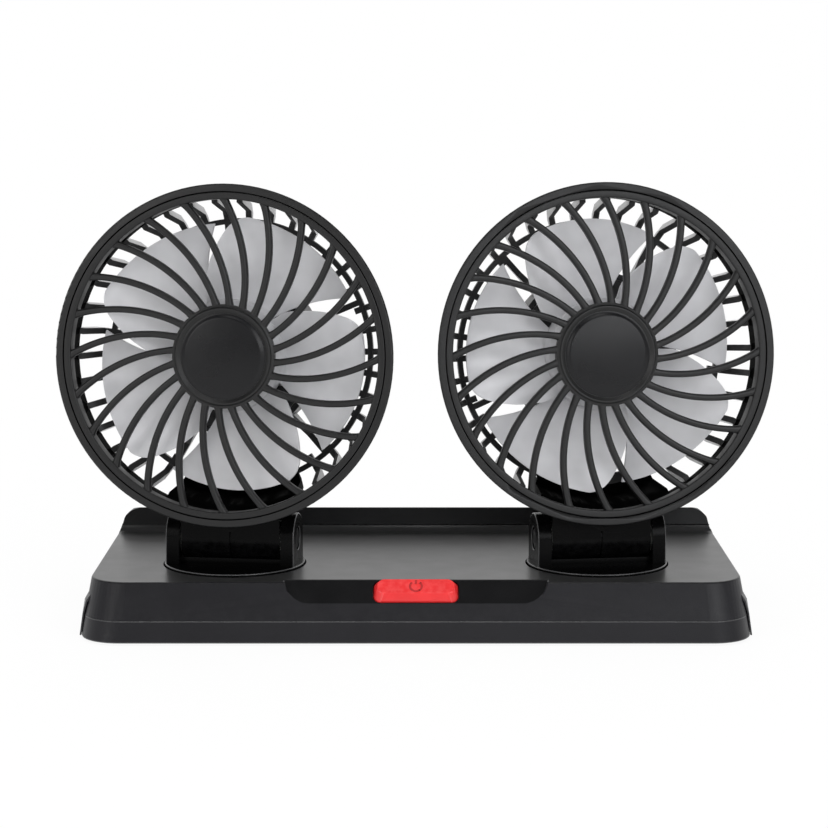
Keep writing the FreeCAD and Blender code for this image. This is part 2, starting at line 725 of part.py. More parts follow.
def swivel_yoke():
    """The turntable disc with its pivot below and the two ears of the tilt hinge above."""
    body = new_body("swivel_yoke")
    disc_bottom = f"{well_floor_top} + swivel_washer_thickness"
    disc_top = "deck_height + disc_rise"
    disc = new_sketch(body, "disc", lift=disc_bottom)
    circle(disc, "0", "0", "disc_radius")
    feature(body, "Pad", "disc_pad", disc, Length="well_depth - swivel_washer_thickness + disc_rise")
    pivot = new_sketch(body, "pivot", lift=disc_bottom)
    circle(pivot, "0", "0", "pivot_radius")
    feature(body, "Pad", "pivot_pad", pivot, reverse=True,
            Length="swivel_washer_thickness + well_floor + swivel_play")

    ears = new_sketch(body, "ears", "YZ_Plane")
    outline(ears, [("-ear_round", disc_top), ("ear_round", disc_top),
                   ("ear_round", "tilt_height + ear_round", f"{HALF_ROUND} * ear_round"),
                   ("-ear_round", "tilt_height + ear_round", f"{HALF_ROUND} * ear_round")])
    feature(body, "Pad", "ear_pad", ears, both=True, Length="yoke_width")
    between = new_sketch(body, "between", "YZ_Plane")
    outline(between, [("-2 * ear_round", disc_top), ("2 * ear_round", disc_top),
                      ("2 * ear_round", "tilt_height + 2 * ear_round"),
                      ("-2 * ear_round", "tilt_height + 2 * ear_round")])
    feature(body, "Pocket", "between_cut", between, both=True, Length="yoke_width - 2 * ear_thickness")

    cradle = new_sketch(body, "cradle", "YZ_Plane")
    outline(cradle, [("-cradle_half", disc_top), ("cradle_half", disc_top),
                     ("cradle_half", f"{disc_top} + cradle_height"),
                     ("-cradle_half", f"{disc_top} + cradle_height")])
    feature(body, "Pad", "cradle_pad", cradle, both=True, Length="yoke_width - 2 * ear_thickness")
    cradle_seat = new_sketch(body, "cradle_seat", "YZ_Plane")
    circle(cradle_seat, "0", "tilt_height", "barrel_radius + cradle_gap")
    feature(body, "Pocket", "cradle_seat_cut", cradle_seat, both=True,
            Length="yoke_width - 2 * ear_thickness")

    pin_hole = new_sketch(body, "pin_hole", "YZ_Plane")
    circle(pin_hole, "0", "tilt_height", "pin_radius + pin_clearance")
    feature(body, "Pocket", "pin_hole_cut", pin_hole, both=True, through=True)
    for name, side, reverse in (("head_sink", "", False), ("nut_sink", "-", True)):
        sink = new_sketch(body, name, "YZ_Plane", lift=f"{side}yoke_width / 2")
        circle(sink, "0", "tilt_height", "nut_circle + pin_head_gap")
        feature(body, "Pocket", f"{name}_cut", sink, reverse=reverse, Length="pin_head_sink")
    wire_bore = new_sketch(body, "wire_bore", lift="tilt_height")
    circle(wire_bore, "0", "0", "pivot_bore")
    feature(body, "Pocket", "wire_bore_cut", wire_bore, through=True)
    pilots = new_sketch(body, "pivot_pilots", lift=f"{well_bottom} - swivel_play")
    for angle in THREE_ROUND:
        circle(pilots, *polar("swivel_screw_circle", angle), "swivel_screw_radius + swivel_hole_gap")
    body.Tip = feature(body, "Pocket", "pivot_pilot_cut", pilots, reverse=True,
                       Length="swivel_screw_depth + swivel_screw_radius")
    return body


def swivel_hardware():
    """Washer above the well floor, and the retainer that the screws pull up under it."""
    washer = cut("washer_ring",
                 cylinder("washer_disc", "swivel_washer_outer", "swivel_washer_thickness", z=well_floor_top),
                 cylinder("washer_hole", "swivel_washer_inner", "swivel_washer_thickness", z=well_floor_top))
    top = f"{well_bottom} - swivel_play"
    low = f"{top} - retainer_thickness"
    disc = cylinder("retainer_disc", "retainer_radius", "retainer_thickness", z=low)
    holes = [cylinder("retainer_bore", "pivot_bore", "retainer_thickness", z=low)]
    screws = []
    for angle in THREE_ROUND:
        x, y = polar("swivel_screw_circle", angle)
        holes.append(cylinder("retainer_hole", "swivel_screw_radius + swivel_hole_gap", "retainer_thickness",
                              x=x, y=y, z=low))
        head = cylinder("swivel_screw_head", "swivel_screw_head", "swivel_screw_head_height",
                        x=x, y=y, z=f"{low} - swivel_screw_head_height")
        shank = cylinder("swivel_screw_shank", "swivel_screw_radius",
                         "retainer_thickness + swivel_screw_depth", x=x, y=y, z=low)
        screws.append(fuse("swivel_screw", head, shank))
    retainer = cut("retainer_drilled", disc, fuse("retainer_holes", *holes))
    return {"swivel_washer": washer, "swivel_retainer": retainer,
            "swivel_screws": group("swivel_screw_group", screws)}


def tilt_hardware():
    """The pin through both ears, its nut, and a friction washer beside each ear."""
    along = {"z": "tilt_height", "axis": "0; 1; 0", "angle": "90"}
    outer = "yoke_width / 2 - pin_head_sink"
    head = cylinder("pin_head", "pin_head_radius", "pin_head_height", x=outer, **along)
    shank = cylinder("pin_shank", "pin_radius", f"2 * ({outer}) + nut_height",
                     x=f"-({outer} + nut_height)", **along)
    nut = doc.addObject("Part::Prism", "nut_block")
    nut.Polygon = 6
    place(bind(nut, Circumradius="nut_circle", Height="nut_height"), x=f"-({outer} + nut_height)", **along)
    nut_hole = cylinder("nut_hole", "pin_radius", "nut_height", x=f"-({outer} + nut_height)", **along)
    beside = "(yoke_width / 2 - ear_thickness - tilt_play / 2)"
    washers = []
    for name, x in (("left", f"-{beside}"), ("right", f"{beside} - tilt_washer_thickness")):
        disc = cylinder(f"tilt_washer_{name}", "tilt_washer_radius", "tilt_washer_thickness", x=x, **along)
        hole = cylinder(f"tilt_washer_{name}_hole", "pin_radius + pin_clearance", "tilt_washer_thickness",
                        x=x, **along)
        washers.append(cut(f"tilt_washer_{name}_ring", disc, hole))
    return {"tilt_pin": fuse("pin", head, shank), "tilt_nut": cut("nut", nut, nut_hole),
            "tilt_washers": group("tilt_washer_group", washers)}


# A head is drawn about its own fan axis: Y runs along the axis, the tilt pin lies head_rise below it.
basket_back = "(basket_depth - front_reach)"
cup_back = f"({basket_back} + cup_stand)"
cup_front = f"({cup_back} - cup_depth)"
cup_floor_face = f"({cup_back} - cup_floor)"
rotor_front = "(rotor_hub_front - front_reach)"
rotor_back = f"({rotor_front} + rotor_hub_depth)"
motor_front = f"({cup_floor_face} - motor_length)"
barrel_half = "(yoke_width / 2 - ear_thickness - tilt_play - tilt_washer_thickness)"


def rib_profile(sign=""):
    """Side view of one rib: from the rim along the side, round the back edge and in past the back ring."""
    root = "(rim_depth - front_reach - rib_root)"
    slope = f"(rim_back_radius - basket_back_radius) / ({basket_back} - {root})"
    edge = f"basket_back_radius - rib_inset + {slope} * basket_bevel"
    outer = [(root, "rim_back_radius - rib_inset"),
             (f"{basket_back} - basket_bevel", edge),
             (basket_back, "basket_back_radius - basket_bevel"),
             (basket_back, "back_ring_radius - back_ring_bar / 2 - rib_stub")]
    inner = [(f"{basket_back} - back_ring_bar", "back_ring_radius - back_ring_bar / 2 - rib_stub"),
             (f"{basket_back} - back_ring_bar", "basket_back_radius - basket_bevel - rib_depth + rib_inset"),
             (f"{basket_back} - basket_bevel", f"{edge} - rib_depth"),
             (root, "rim_back_radius - rib_inset - rib_depth")]
    return [(y, f"{sign}({radius})") for y, radius in outer + inner]


def rear_guard(side):
    """Rim, ribs, back ring, motor cup and hinge barrel; the arms of the two heads point different ways."""
    body = new_body(f"{side}_basket")
    neck = new_sketch(body, "neck", "YZ_Plane")
    outline(neck, [("-barrel_radius", "-head_rise - barrel_radius", f"{HALF_ROUND} * barrel_radius"),
                   ("barrel_radius", "-head_rise - barrel_radius", f"{HALF_ROUND} * barrel_radius"),
                   ("barrel_radius", "-basket_back_radius + 2 * rib_depth"),
                   ("-barrel_radius", "-basket_back_radius + 2 * rib_depth")])
    feature(body, "Pad", "neck_pad", neck, both=True, Length=f"2 * {barrel_half}")
    inside = new_sketch(body, "inside", "YZ_Plane")
    outline(inside, [(f"-front_reach - {OVERRUN}", "0"), (f"{basket_back} + {OVERRUN}", "0"),
                     (f"{basket_back} + {OVERRUN}", "basket_back_radius - rib_depth - 2 * rib_inset"),
                     ("rim_depth - front_reach - rib_root", "ring_radius - rim_wall"),
                     (f"-front_reach - {OVERRUN}", "ring_radius - rim_wall")])
    feature(body, "Groove", "inside_cut", inside)

    rim = new_sketch(body, "rim", "YZ_Plane")
    outline(rim, [("-front_reach", "ring_radius - rim_lip"), ("-front_reach", "ring_radius", "rim_round"),
                  ("rim_depth - front_reach", "rim_back_radius"),
                  ("rim_depth - front_reach", "ring_radius - rim_wall"),
                  ("seat_depth - front_reach", "ring_radius - rim_wall"),
                  ("seat_depth - front_reach", "ring_radius - rim_lip")])
    feature(body, "Revolution", "rim_turn", rim)
    saddle = new_sketch(body, "saddle", "YZ_Plane")
    outline(saddle, rib_profile("-"))
    feature(body, "Revolution", "saddle_turn", saddle, both=True, Angle="saddle_angle")
    rib = new_sketch(body, "rib", "YZ_Plane", frame=at(axis="1; 0; 0", angle="rib_turn"))
    outline(rib, rib_profile())
    first_rib = feature(body, "Pad", "rib_pad", rib, both=True, Length="rib_width")
    polar_pattern(body, "ribs", [first_rib], "rib_count")

    back_ring = new_sketch(body, "back_ring", "YZ_Plane")
    outline(back_ring, [(f"{basket_back} - back_ring_bar", "back_ring_radius - back_ring_bar / 2"),
                        (basket_back, "back_ring_radius - back_ring_bar / 2"),
                        (basket_back, "back_ring_radius + back_ring_bar / 2"),
                        (f"{basket_back} - back_ring_bar", "back_ring_radius + back_ring_bar / 2")])
    feature(body, "Revolution", "back_ring_turn", back_ring)
    cup = new_sketch(body, "cup", "YZ_Plane")
    outline(cup, [(cup_front, "cup_radius - cup_wall"), (cup_front, "cup_radius"), (cup_back, "cup_radius"),
                  (cup_back, "0"), (cup_floor_face, "0"), (cup_floor_face, "cup_radius - cup_wall")])
    feature(body, "Revolution", "cup_turn", cup)
    arm = new_sketch(body, "arm", "YZ_Plane", frame=at(axis="1; 0; 0", angle=f"90 - {side}_arms"))
    outline(arm, [(basket_back, "back_ring_radius"), (basket_back, "cup_radius - cup_wall / 2"),
                  (f"{basket_back} - arm_gusset", "cup_radius - cup_wall / 2"),
                  (f"{basket_back} - back_ring_bar", "(cup_radius + back_ring_radius) / 2"),
                  (f"{basket_back} - back_ring_bar", "back_ring_radius")])
    first_arm = feature(body, "Pad", "arm_pad", arm, both=True, Length="arm_width")
    polar_pattern(body, "arms", [first_arm], "arm_count")

    pin_bore = new_sketch(body, "pin_bore", "YZ_Plane")
    circle(pin_bore, "0", "-head_rise", "pin_radius + pin_clearance")
    feature(body, "Pocket", "pin_bore_cut", pin_bore, both=True, through=True)
    seam = new_sketch(body, "barrel_seam", "YZ_Plane")
    circle(seam, "0", "-head_rise", "barrel_radius - seam_depth")
    circle(seam, "0", "-head_rise", "barrel_radius + seam_depth")
    feature(body, "Pocket", "barrel_seam_cut", seam, both=True, Length="seam_width")
    posts = new_sketch(body, "motor_posts", "XZ_Plane", lift=f"-{cup_floor_face}")
    pilots = new_sketch(body, "motor_pilots", "XZ_Plane", lift=f"-{motor_front}")
    for angle in THREE_ROUND:
        spot = polar("motor_screw_circle", angle)
        circle(posts, *spot, "motor_post_radius")
        circle(pilots, *spot, "motor_screw_radius + motor_hole_gap")
    feature(body, "Pad", "motor_post_pad", posts, Length="motor_length")
    body.Tip = feature(body, "Pocket", "motor_pilot_cut", pilots, Length="motor_screw_depth")
    return body


def motor_pieces():
    """Motor can on the cup floor, its bush, the holder plate over it, and the screws of the plate."""
    facing = {"axis": "1; 0; 0", "angle": "90"}
    can = cylinder("can", "motor_radius", "motor_length", y=cup_floor_face, **facing)
    shaft_room = cylinder("can_bore", "shaft_radius + shaft_clearance", "shaft_in_motor + shaft_end_room",
                          y=f"{motor_front} + shaft_in_motor + shaft_end_room", **facing)
    stand = "holder_thickness + bush_stand"
    bush = cylinder("bush_tube", "bush_radius", stand, y=motor_front, **facing)
    bush_bore = cylinder("bush_bore", "shaft_radius + shaft_clearance", stand, y=motor_front, **facing)
    plate = cylinder("holder_disc", "cup_radius - cup_wall - holder_gap", "holder_thickness",
                     y=motor_front, **facing)
    holes = [cylinder("holder_bore", "bush_radius + bush_gap", "holder_thickness", y=motor_front, **facing)]
    screws = []
    depth = "motor_screw_depth - motor_tip_gap"
    for angle in THREE_ROUND:
        x, z = polar("motor_screw_circle", angle)
        holes.append(cylinder("holder_hole", "motor_screw_radius + motor_hole_gap", "holder_thickness",
                              x=x, y=motor_front, z=z, **facing))
        head = cylinder("motor_screw_head", "motor_screw_head", "motor_screw_head_height",
                        x=x, y=f"{motor_front} - holder_thickness", z=z, **facing)
        shank = cylinder("motor_screw_shank", "motor_screw_radius", f"holder_thickness + {depth}",
                         x=x, y=f"{motor_front} + {depth}", z=z, **facing)
        screws.append(fuse("motor_screw", head, shank))
    return {"motor": cut("motor_can", can, shaft_room), "motor_bush": cut("bush", bush, bush_bore),
            "motor_holder": cut("holder", plate, fuse("holder_holes", *holes)),
            "motor_screws": group("motor_screw_group", screws)}


def front_guard():
    body = new_body("front_guard")
    outer = "(ring_radius - rim_lip - guard_gap)"
    inner = f"({outer} - guard_ring_width)"
    ring = new_sketch(body, "guard_ring", "YZ_Plane")
    outline(ring, [("-front_reach", inner), ("-front_reach", outer), ("seat_depth - front_reach", outer),
                   ("seat_depth - front_reach", inner)])
    feature(body, "Revolution", "guard_ring_turn", ring)
    hub = new_sketch(body, "guard_hub", "YZ_Plane")
    face = "(-front_reach - guard_hub_proud)"
    outline(hub, [(f"{face} + guard_hub_depth", "0"), (f"{face} + guard_hub_depth", "guard_hub_radius"),
                  (f"{face} + guard_hub_bevel", "guard_hub_radius"), (face, "guard_lip_radius"),
                  (face, "cap_radius + cap_gap"), (f"{face} + cap_seat", "cap_radius + cap_gap"),
                  (f"{face} + cap_seat", "0")])
    feature(body, "Revolution", "guard_hub_turn", hub)

    rate = f"(spoke_sweep / ({inner} - guard_hub_radius))"

    def spoke_side(radius, side):
        slant = f"sqrt(1 + ({radius} * {rate} * pi / 180) ^ 2)"
        turn = f"{rate} * ({radius} - {inner}) * 1 deg {side} asin(spoke_width / 2 * {slant} / ({radius}))"
        return polar(radius, turn)

    root = "(guard_hub_radius - spoke_root)"
    tip = f"({inner} + spoke_root)"
    between = [f"({root} + ({tip} - {root}) * {n} / {SPOKE_STEPS})" for n in range(1, SPOKE_STEPS)]
    steps = [root] + between + [tip]
    spoke = new_sketch(body, "spoke", "XZ_Plane", lift="front_reach - spoke_setback")
    outline(spoke, [spoke_side(r, "+") for r in steps] + [spoke_side(r, "-") for r in reversed(steps)])
    first_spoke = feature(body, "Pad", "spoke_pad", spoke, reverse=True, Length="spoke_depth")
    polar_pattern(body, "spokes", [first_spoke], "spoke_count")
    return body


def centre_cap():
    body = new_body("centre_cap")
    seat = "(cap_seat - front_reach - guard_hub_proud)"
    profile = new_sketch(body, "cap_profile", "YZ_Plane")
    outline(profile, [(seat, "0"), (seat, "cap_radius"), (f"{seat} - cap_edge", "cap_radius"),
                      (f"{seat} - cap_edge - cap_crown", "cap_crown_radius"),
                      (f"{seat} - cap_edge - cap_dome", "0")])
    body.Tip = feature(body, "Revolution", "cap_turn", profile)
    return body


def blade_shape():
    """One blade: a bowed sheet swept from hub to tip, with its front tip corner rounded."""
    size = {name: value(name) for name in SIZES}
    root = size["rotor_hub_radius"] - size["blade_root_sink"]
    tip = size["blade_tip_radius"]
    round_from = tip - size["blade_corner_reach"]
    rows = 9
    columns = 7
    tip_crowding = 1.6
    grid = []
    for row in range(rows):
        outward = 1 - (1 - row / (rows - 1)) ** tip_crowding
        start = size["blade_root_lag"] * (1 - outward) - size["blade_span"] / 2
        end = size["blade_span"] / 2 + size["blade_root_lead"] * (1 - outward)
        corner = (root + (tip - root) * outward - round_from) / size["blade_corner_reach"]
        if corner > 0:
            end -= size["blade_corner_angle"] * (1 - (1 - corner ** 2) ** 0.5)
        line = []
        for column in range(columns):
            across = column / (columns - 1)
            spot = FreeCAD.Rotation(Vector(0, -1, 0), start + (end - start) * across)
            radius = root + (tip - size["blade_tip_fall"] * (1 - across) - root) * outward
            bow = 4 * across * (1 - across) * size["blade_bow"]
            depth = size["blade_front"] - size["front_reach"] + size["blade_pitch_depth"] * (1 - across) + bow
            line.append(spot.multVec(Vector(radius, 0, 0)) + Vector(0, depth, 0))
        grid.append(line)
    surface = Part.BSplineSurface()
    surface.interpolate(grid)
    return surface.toShape().extrude(Vector(0, size["blade_thickness"], 0))


def fan_rotor():
    body = new_body("rotor_hub")
    profile = new_sketch(body, "hub_profile", "YZ_Plane")
    wall_back = f"{rotor_front} + rotor_hub_wall"
    boss_back = f"{rotor_back} - rotor_boss_inset"
    outline(profile, [(rotor_front, "0"), (rotor_front, "rotor_hub_radius - rotor_hub_wall"),
                      (wall_back, "rotor_hub_radius"), (rotor_back, "rotor_hub_radius"),
                      (rotor_back, "rotor_hub_radius - rotor_hub_wall"),
                      (wall_back, "rotor_hub_radius - rotor_hub_wall"), (wall_back, "rotor_boss_radius"),
                      (boss_back, "rotor_boss_radius"), (boss_back, "shaft_radius"),
                      (f"{rotor_front} + rotor_bore_end", "shaft_radius"),
                      (f"{rotor_front} + rotor_bore_end", "0")])
    body.Tip = feature(body, "Revolution", "hub_turn", profile)
    blade = doc.addObject("Part::Feature", "blade")
    blade.Shape = blade_shape()
    blades = [copy_of(blade, "blade_copy", at(axis="0; -1; 0", angle=f"360 / blade_count * {n}"))
              for n in range(int(value("blade_count")))]
    return fuse("rotor", body, *blades)


def rotor_shaft():
    back = f"{motor_front} + shaft_in_motor"
    return cylinder("shaft", "shaft_radius", f"{back} - {rotor_front} - rotor_bore_end", y=back,
                    axis="1; 0; 0", angle="90")


base_top_cover()
base_bottom_cover()
cover_screws()
anti_slip_pad()
end_trims()
power_button()
switch_and_board()
cable_gland()

on_swivel = {"swivel_yoke": swivel_yoke(), **swivel_hardware(), **tilt_hardware()}
on_head = {"front_guard": front_guard(), "centre_cap": centre_cap(), **motor_pieces()}
on_rotor = {"fan_rotor": fan_rotor(), "motor_shaft": rotor_shaft()}

for side, sign in (("left", "-"), ("right", "")):
    swivel_frame = at(f"{sign}swivel_spacing / 2", "swivel_y", angle=f"{side}_turn")
    tilt_frame = f"{at(z='tilt_height', axis='1; 0; 0', angle=f'-{side}_lean')} * {at(z='head_rise')}"
    spin_frame = at(axis="0; -1; 0", angle=f"{side}_blades")
    for name, source in on_swivel.items():
        node(copy_of(source, f"{side}_{name}", swivel_frame), f"{side}_{name}")
    head_frame = f"{swivel_frame} * {tilt_frame}"
    for name, source in {"rear_guard": rear_guard(side), **on_head}.items():
        node(copy_of(source, f"{side}_{name}", head_frame), f"{side}_{name}")
    for name, source in on_rotor.items():
        node(copy_of(source, f"{side}_{name}", f"{head_frame} * {spin_frame}"), f"{side}_{name}")

doc.recompute()

for thing in doc.Objects:
    if "Invalid" in thing.State or "Error" in thing.State:
        raise RuntimeError(f"{thing.Label} did not build: {thing.State}")
os.makedirs("parts", exist_ok=True)
for thing in nodes:
    if thing.Shape.isNull() or not thing.Shape.isValid():
        raise RuntimeError(f"{thing.Label} has no valid solid")
    thing.Shape.exportStep(f"parts/{thing.Label}.step")
print(f"{len(nodes)} sub-parts")
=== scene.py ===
import json
import math

import bmesh
import bpy
from mathutils import Matrix, Vector


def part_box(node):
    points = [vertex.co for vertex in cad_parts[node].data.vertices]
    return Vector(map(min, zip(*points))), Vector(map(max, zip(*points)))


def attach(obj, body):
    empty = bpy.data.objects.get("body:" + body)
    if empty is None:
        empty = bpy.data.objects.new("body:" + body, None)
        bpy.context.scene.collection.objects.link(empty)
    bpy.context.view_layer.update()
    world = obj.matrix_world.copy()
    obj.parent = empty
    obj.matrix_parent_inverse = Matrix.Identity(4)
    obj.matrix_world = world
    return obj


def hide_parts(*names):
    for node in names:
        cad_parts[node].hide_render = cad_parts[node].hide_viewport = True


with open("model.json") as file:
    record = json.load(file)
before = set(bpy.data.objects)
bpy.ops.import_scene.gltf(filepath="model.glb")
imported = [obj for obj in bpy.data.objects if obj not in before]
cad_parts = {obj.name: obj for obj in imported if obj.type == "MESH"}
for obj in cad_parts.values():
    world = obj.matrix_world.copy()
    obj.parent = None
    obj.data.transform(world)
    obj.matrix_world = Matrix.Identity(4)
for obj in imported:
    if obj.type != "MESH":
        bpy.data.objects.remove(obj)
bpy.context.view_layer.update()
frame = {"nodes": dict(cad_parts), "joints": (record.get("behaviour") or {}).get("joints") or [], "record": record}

nodes = frame["nodes"]
joints = {joint["name"]: joint for joint in frame["joints"]}
sides = ("left", "right")
mm = 0.001
print("frame loaded:", len(nodes), "nodes")


# ways of wiring shader nodes

def addNode(tree, kind, **values):
    made = tree.nodes.new("ShaderNode" + kind)
    for name, value in values.items():
        setattr(made, name, value)
    return made


def wire(tree, source, target):
    tree.links.new(source, target)


def newGroup(name, inputs, outputs):
    tree = bpy.data.node_groups.new(name, "ShaderNodeTree")
    for label, kind, value in inputs:
        socket = tree.interface.new_socket(label, in_out="INPUT", socket_type="NodeSocket" + kind)
        socket.default_value = value
    for label, kind in outputs:
        tree.interface.new_socket(label, in_out="OUTPUT", socket_type="NodeSocket" + kind)
    return tree, tree.nodes.new("NodeGroupInput"), tree.nodes.new("NodeGroupOutput")


def useGroup(tree, group, **values):
    made = tree.nodes.new("ShaderNodeGroup")
    made.node_tree = group
    for name, value in values.items():
        made.inputs[name].default_value = value
    return made


def mathNode(tree, operation, first, second):
    made = addNode(tree, "Math", operation=operation, use_clamp=operation == "MULTIPLY")
    for socket, value in zip(made.inputs, (first, second)):
        if isinstance(value, (int, float)):
            socket.default_value = value
        else:
            wire(tree, value, socket)
    return made.outputs[0]


def rangeNode(tree, value, low, high, newLow, newHigh):
    made = addNode(tree, "MapRange")
    wire(tree, value, made.inputs["Value"])
    for name, number in (("From Min", low), ("From Max", high), ("To Min", newLow), ("To Max", newHigh)):
        if isinstance(number, (int, float)):
            made.inputs[name].default_value = number
        else:
            wire(tree, number, made.inputs[name])
    return made.outputs["Result"]


def noiseNode(tree, scale, detail=3.0, stretch=None):
    place = addNode(tree, "TexCoord").outputs["Object"]
    if stretch:
        mapped = addNode(tree, "Mapping")
        mapped.inputs["Scale"].default_value = stretch
        wire(tree, place, mapped.inputs["Vector"])
        place = mapped.outputs["Vector"]
    made = addNode(tree, "TexNoise")
    made.inputs["Detail"].default_value = detail
    wire(tree, place, made.inputs["Vector"])
    if isinstance(scale, (int, float)):
        made.inputs["Scale"].default_value = scale
    else:
        wire(tree, scale, made.inputs["Scale"])
    return made.outputs["Fac"]


grainLook = dict(scale=2600.0, detail=4.0, swell=90.0, swellDetail=2.0, swellShare=0.35)
rubLook = dict(start=0.53, full=0.6, breakup=420.0, detail=3.0, patch=(0.38, 0.62), least=0.15)
dustLook = dict(scale=260.0, amount=0.1, detail=5.0, upFrom=0.55, specks=(0.45, 0.75))


def mouldGrainGroup():  # fine spark-eroded grain of a moulding, with a slow swell under it
    look = grainLook
    inputs = [("Scale", "Float", look["scale"]), ("Swell", "Float", look["swell"])]
    tree, given, made = newGroup("mouldGrain", inputs, [("Height", "Float"), ("Cloud", "Float")])
    fine = noiseNode(tree, given.outputs["Scale"], look["detail"])
    slow = noiseNode(tree, given.outputs["Swell"], look["swellDetail"])
    swell = mathNode(tree, "MULTIPLY", slow, look["swellShare"])
    wire(tree, mathNode(tree, "ADD", fine, swell), made.inputs["Height"])
    wire(tree, slow, made.inputs["Cloud"])
    return tree


def edgeRubGroup():  # where outer edges have been rubbed, broken up by noise
    look = rubLook
    inputs = [("Start", "Float", look["start"]), ("Full", "Float", look["full"]),
              ("Breakup", "Float", look["breakup"])]
    tree, given, made = newGroup("edgeRub", inputs, [("Mask", "Float")])
    point = addNode(tree, "NewGeometry").outputs["Pointiness"]
    edge = rangeNode(tree, point, given.outputs["Start"], given.outputs["Full"], 0.0, 1.0)
    spots = noiseNode(tree, given.outputs["Breakup"], look["detail"])
    patch = rangeNode(tree, spots, *look["patch"], look["least"], 1.0)
    wire(tree, mathNode(tree, "MULTIPLY", edge, patch), made.inputs["Mask"])
    return tree


def settledDustGroup():  # faint dust on faces that look up
    look = dustLook
    inputs = [("Scale", "Float", look["scale"]), ("Amount", "Float", look["amount"])]
    tree, given, made = newGroup("settledDust", inputs, [("Mask", "Float")])
    facing = addNode(tree, "SeparateXYZ")
    wire(tree, addNode(tree, "NewGeometry").outputs["Normal"], facing.inputs[0])
    upward = rangeNode(tree, facing.outputs["Z"], look["upFrom"], 1.0, 0.0, 1.0)
    grains = noiseNode(tree, given.outputs["Scale"], look["detail"])
    specks = rangeNode(tree, grains, *look["specks"], 0.0, 1.0)
    amount = mathNode(tree, "MULTIPLY", specks, given.outputs["Amount"])
    wire(tree, mathNode(tree, "MULTIPLY", upward, amount), made.inputs["Mask"])
    return tree


mouldGrain = mouldGrainGroup()
edgeRub = edgeRubGroup()
settledDust = settledDustGroup()
print("effect groups made")


# finishes: the material slots of the record, and zones that look different from the rest of a piece

plasticFinishes = {
    "base_plastic": dict(colour=(0.006, 0.0057, 0.0084), rubbed=(0.03, 0.03, 0.032), rough=(0.38, 0.45),
                         grain=2600.0, depth=0.03, rub=0.25, dust=0.02, gloss=0.34),
    # a paler copy of the base plastic for the deck: painted light that the top faces catch from above
    "deck_painted_light": dict(colour=(0.026, 0.026, 0.0265), rubbed=(0.05, 0.05, 0.052), rough=(0.3, 0.34),
                         grain=2600.0, depth=0.006, rub=0.1, dust=0.01, gloss=0.4),
    # a darker, duller copy of the base plastic for the recess and the wall: painted shade
    "recess_painted_shade": dict(colour=(0.0055, 0.0055, 0.0062), rubbed=(0.01, 0.01, 0.011), rough=(0.28, 0.33),
                           grain=2600.0, depth=0.02, rub=0.1, dust=0.0, gloss=0.28),
    # paler plastic on soft edges: a painted highlight along the parting line and the yoke's edges
    "edge_painted_highlight": dict(colour=(0.06, 0.06, 0.062), rubbed=(0.07, 0.07, 0.072), rough=(0.24, 0.32),
                         grain=2600.0, depth=0.02, rub=0.1, dust=0.0),
    # lighter guard plastic: a painted highlight on the spoke sides, the ring's inner edge and the hub's lip
    "guard_painted_highlight": dict(colour=(0.022, 0.022, 0.0225), rubbed=(0.05, 0.05, 0.05), rough=(0.26, 0.33),
                       grain=2400.0, depth=0.04, rub=0.3, dust=0.0),
    # black hinge plastic made darker still and less glossy: painted shade for the yoke and neck under the fan
    "hinge_plastic_painted_shade": dict(colour=(0.0012, 0.0012, 0.0013), rubbed=(0.02, 0.02, 0.021), rough=(0.22, 0.3),
                          grain=2600.0, depth=0.02, rub=0.2, dust=0.0, gloss=0.08),
    "cage_plastic": dict(colour=(0.003, 0.003, 0.0031), rubbed=(0.02, 0.02, 0.02), rough=(0.3, 0.36),
                         grain=2400.0, depth=0.02, rub=0.1, dust=0.0, gloss=0.5, sheen=1.0),
    "shaded_plastic": dict(colour=(0.0012, 0.0012, 0.0012), rubbed=(0.004, 0.004, 0.004), rough=(0.6, 0.7),
                           grain=2400.0, depth=0.03, rub=0.1, dust=0.0, gloss=0.02),
    "trim_plastic": dict(colour=(0.02, 0.02, 0.022), rubbed=(0.04, 0.04, 0.042), rough=(0.34, 0.42),
                         grain=2600.0, depth=0.04, rub=0.3, dust=0.02),
    "guard_plastic": dict(colour=(0.006, 0.006, 0.0063), rubbed=(0.03, 0.03, 0.031), rough=(0.36, 0.46),
                          grain=2400.0, depth=0.05, rub=0.25, dust=0.02, gloss=0.42),
    "cap_plastic": dict(colour=(0.005, 0.005, 0.006), rubbed=(0.02, 0.02, 0.021), rough=(0.26, 0.31),
                        grain=2800.0, depth=0.015, rub=0.1, dust=0.0, gloss=0.3),
    "blade_plastic": dict(colour=(0.7, 0.7, 0.72), rubbed=(0.74, 0.74, 0.75), rough=(0.36, 0.46),
                          grain=1800.0, depth=0.02, rub=0.2, dust=0.04),
    "button_red": dict(colour=(0.78, 0.026, 0.028), rubbed=(0.86, 0.12, 0.12), rough=(0.2, 0.26),
                       grain=2600.0, depth=0.015, rub=0.3, dust=0.0, gloss=0.5),
    "switch_plastic": dict(colour=(0.03, 0.03, 0.03), rubbed=(0.08, 0.08, 0.08), rough=(0.45, 0.6),
                           grain=2400.0, depth=0.05, rub=0.2, dust=0.0),
    "slip_plastic": dict(colour=(0.72, 0.72, 0.69), rubbed=(0.78, 0.78, 0.76), rough=(0.4, 0.5),
                         grain=2400.0, depth=0.03, rub=0.2, dust=0.0),
    "pad_rubber": dict(colour=(0.012, 0.012, 0.012), rubbed=(0.035, 0.035, 0.035), rough=(0.72, 0.86),
                       grain=1500.0, depth=0.2, rub=0.3, dust=0.1),
    "board_laminate": dict(colour=(0.03, 0.16, 0.07), rubbed=(0.2, 0.26, 0.12), rough=(0.25, 0.38),
                           grain=1200.0, depth=0.05, rub=0.3, dust=0.05),
    "button_mark": dict(colour=(0.45, 0.008, 0.01), rubbed=(0.4, 0.02, 0.02), rough=(0.4, 0.5),
                        grain=2600.0, depth=0.03, rub=0.1, dust=0.0),
}
